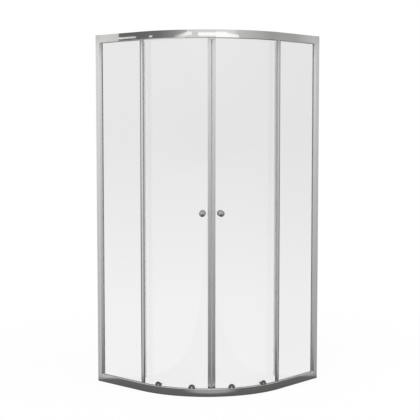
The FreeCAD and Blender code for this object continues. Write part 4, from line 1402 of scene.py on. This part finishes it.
@dataclass
class Studio:
    """Camera, pale floor, white surroundings, reflection cards and soft lamps, in metres.

    Tones are brightnesses that only reflections show. The room's stops go round from straight behind
    through the left and the front, and the floor's stops outwards with the logarithm of the distance.
    """

    camera_place: tuple[float, float, float] = (4.0358, -4.4798, 1.4433)
    camera_aim: tuple[float, float, float] = (-0.6660, 0.7419, -0.0777)
    lens: float = 91.53
    sensor: float = 36.0
    floor_reach: float = 30.0
    floor_drop: float = 0.0003
    floor_white: float = 0.95
    ambient: float = 0.75
    shadow_share: float = 0.10
    shadow_reach: tuple[float, float] = (0.9, 2.6)
    log_offset: float = 0.05
    log_least: float = 0.01
    log_reach: tuple[float, float] = (-1.3, 1.5)
    dark_strip: float = 0.686
    strip_edge: float = 0.03
    right_share: float = 0.78
    behind_share: float = 0.25
    behind_reach: tuple[float, float] = (0.0, 0.25)
    behind_slope: float = 0.35
    back_tone: float = 0.75
    back_reach: tuple[float, float] = (-6.0, -3.0)
    back_half_width: tuple[float, float] = (1.2, 2.0)
    patch_tone: float = 0.36
    patch_half_width: tuple[float, float] = (0.11, 0.23)
    patch_reach: tuple[float, float] = (0.465, 0.50)
    patch_end: tuple[float, float] = (0.60, 0.75)
    front_tones: Stops = ((0.0, 0.115), (0.25, 0.145), (0.46, 0.26), (0.62, 0.34), (0.83, 0.34), (1.0, 0.42))
    side_tones: Stops = ((0.0, 0.45), (0.2, 0.50), (0.5, 0.61), (0.68, 0.65), (0.86, 0.73), (1.0, 0.83))
    horizon_tones: Stops = (
        (0.0, 0.45), (0.10, 0.45), (0.15, 0.28), (0.18, 0.28), (0.222, 0.90), (0.5, 0.62),
        (0.72, 0.68), (0.778, 0.68), (0.82, 0.28), (0.85, 0.28), (0.90, 0.45), (1.0, 0.45),
    )
    sky_tones: Stops = (
        (0.0, 0.50), (0.10, 0.50), (0.15, 0.32), (0.18, 0.32), (0.222, 0.92), (0.5, 1.05),
        (0.72, 0.75), (0.778, 0.75), (0.82, 0.32), (0.85, 0.32), (0.90, 0.50), (1.0, 0.50),
    )
    sky_height: float = 0.08

    def build(self) -> None:
        """Make the camera, the floor, the world, the cards and the lamps."""
        self.camera()
        self.floor()
        self.world()
        for card in CARDS:
            card.build()
        self.lamp("key", place=(2.6, -4.2, 4.6), size=2.2, power=130.0)
        self.lamp("fill", place=(4.8, 1.6, 3.2), size=2.6, power=60.0)
        bpy.context.scene.view_settings.view_transform = "Standard"

    def camera(self) -> None:
        """Camera at the photograph's viewing angle."""
        data = bpy.data.cameras.new("camera")
        data.lens = self.lens
        data.sensor_width = self.sensor
        camera = new_object("camera", data)
        camera.location = self.camera_place
        camera.rotation_euler = Vector(self.camera_aim).to_track_quat("-Z", "Y").to_euler()
        bpy.context.scene.camera = camera

    def lamp(self, name: str, place: tuple[float, float, float], size: float, power: float) -> None:
        """Soft square lamp aimed at the middle of the cabin.

        Args:
            name: the lamp's name.
            place: where it hangs.
            size: length of its side.
            power: its power in watts.
        """
        data = bpy.data.lights.new(name, "AREA")
        data.size = size
        data.energy = power
        lamp = new_object(name, data)
        lamp.location = place
        middle = Vector((0.0, 0.0, SIZES.height * METRES / 2))
        lamp.rotation_euler = (middle - lamp.location).to_track_quat("-Z", "Y").to_euler()
        lamp.visible_glossy = False
        lamp.visible_transmission = False

    def world(self) -> None:
        """White surroundings that shine dimmer than they look, and a room of soft tones in reflections."""
        world = bpy.data.worlds.new("surroundings")
        bpy.context.scene.world = world
        world.use_nodes = True
        sheet = Wiring(world.node_tree)
        direct, mirrored = sheet.rays()
        lit = sheet.between(direct, self.ambient, 1.0)
        background = world.node_tree.nodes["Background"].inputs
        background["Color"].default_value = (*grey(1.0), 1.0)
        sheet.link(sheet.choose(mirrored, lit, self.room_tone(sheet)), background["Strength"])

    def room_tone(self, sheet: Wiring) -> Socket:
        """Brightness of the room in reflections, by the turn round the cabin.

        Args:
            sheet: the world tree's wiring.

        Returns:
            The brightness: from the horizon's tones it grows to the sky's tones with the height.
        """
        x, y, z = sheet.axes(sheet.node("TexCoord", {}, "Generated"))
        turn = sheet.math("ARCTAN2", sheet.math("ADD", x, y), sheet.math("SUBTRACT", x, y))
        place = sheet.between(turn, 0.0, 1.0, -math.pi, math.pi)
        rise = sheet.between(z, 0.0, 1.0, 0.0, self.sky_height)
        return sheet.choose(rise, sheet.ramp(place, self.horizon_tones), sheet.ramp(place, self.sky_tones))

    def floor(self) -> None:
        """Pale floor: white to the eye with a faint shadow, darker near the cabin in reflections."""
        reach, drop = self.floor_reach, -self.floor_drop
        corners = [(-reach, -reach, drop), (reach, -reach, drop), (reach, reach, drop), (-reach, reach, drop)]
        mesh = bpy.data.meshes.new("floor")
        mesh.from_pydata(corners, [], [(0, 1, 2, 3)])
        material, sheet = bare_material("pale_floor")
        direct, reflected = sheet.rays()
        place = sheet.node("TexCoord", {}, "Object")
        axis = (*(SIZES.centre * METRES), 0.0)
        radius = sheet.node("VectorMath", {0: place, 1: axis}, "Value", operation="DISTANCE")
        matt = sheet.node("BsdfDiffuse", {"Color": (*grey(self.floor_white), 1.0)})
        white = sheet.node("Emission", {"Color": (*grey(1.0), 1.0)})
        share = sheet.between(radius, 1.0 - self.shadow_share, 1.0, *self.shadow_reach)
        seen = sheet.node("MixShader", {0: sheet.product(direct, share), 1: matt, 2: white})
        mirrored = sheet.node("Emission", {"Strength": self.floor_tone(sheet, place, radius)})
        whole = sheet.node("MixShader", {0: reflected, 1: seen, 2: mirrored})
        sheet.link(whole, sheet.tree.nodes["Material Output"].inputs["Surface"])
        mesh.materials.append(material)
        floor = new_object("floor", mesh)

    def floor_tone(self, sheet: Wiring, place: Socket, radius: Socket) -> Socket:
        """Brightness of the floor in reflections: a dark runner in front of the doors, lighter beside it.

        A lighter patch lies just in front of the corner. The floor is dimmer to the right and behind,
        and pale far behind.

        Args:
            sheet: the node tree's wiring.
            place: floor coordinates in metres.
            radius: distance from the corner's arc axis.

        Returns:
            The brightness. It grows with the logarithm of the distance from the cabin.
        """
        beyond = sheet.math("SUBTRACT", radius, SIZES.corner_radius * METRES)
        near = sheet.math("MAXIMUM", sheet.math("ADD", beyond, self.log_offset), self.log_least)
        log = sheet.between(sheet.math("LOGARITHM", near, 10.0), 0.0, 1.0, *self.log_reach)
        x, y, _ = sheet.axes(place)
        diagonal = math.sqrt(0.5)
        sideways = sheet.product(sheet.math("ADD", x, y), diagonal)
        forward = sheet.product(sheet.math("SUBTRACT", x, y), diagonal)
        across = sheet.math("ABSOLUTE", sideways, 0.0)
        right = sheet.between(sideways, 1.0, self.right_share, -self.dark_strip, self.dark_strip)
        ahead = sheet.math("ADD", forward, sheet.product(across, self.behind_slope))
        behind = sheet.between(ahead, self.behind_share, 1.0, *self.behind_reach)
        beside = sheet.product(right, behind, sheet.ramp(log, self.side_tones))
        edges = (self.dark_strip - self.strip_edge, self.dark_strip + self.strip_edge)
        aside = sheet.between(across, 0.0, 1.0, *edges)
        patch = sheet.product(
            sheet.between(across, 1.0, 0.0, *self.patch_half_width),
            sheet.between(forward, 0.0, 1.0, *self.patch_reach),
            sheet.between(forward, 1.0, 0.0, *self.patch_end),
        )
        back = sheet.product(
            sheet.between(forward, 1.0, 0.0, *self.back_reach),
            sheet.between(across, 1.0, 0.0, *self.back_half_width),
        )
        ground = sheet.choose(aside, sheet.ramp(log, self.front_tones), beside)
        return sheet.choose(patch, sheet.choose(back, ground, self.back_tone), self.patch_tone)


def main() -> None:
    """Build the cabin's sub-assemblies in order, then the studio."""
    logging.basicConfig(level=logging.INFO, format="%(message)s")
    wardrobe = Wardrobe()
    Rails().build(wardrobe)
    for side in Side:
        WallSide(side).build(wardrobe)
        Door(side).build(wardrobe)
    for node in ("rail_connectors", "corner_screws", "jamb_screws", "jamb_screw_covers",
                 "track_end_caps", "track_stops"):
        wardrobe.dress_node(node)
    Studio().build()


if __name__ == "__main__":
    main()
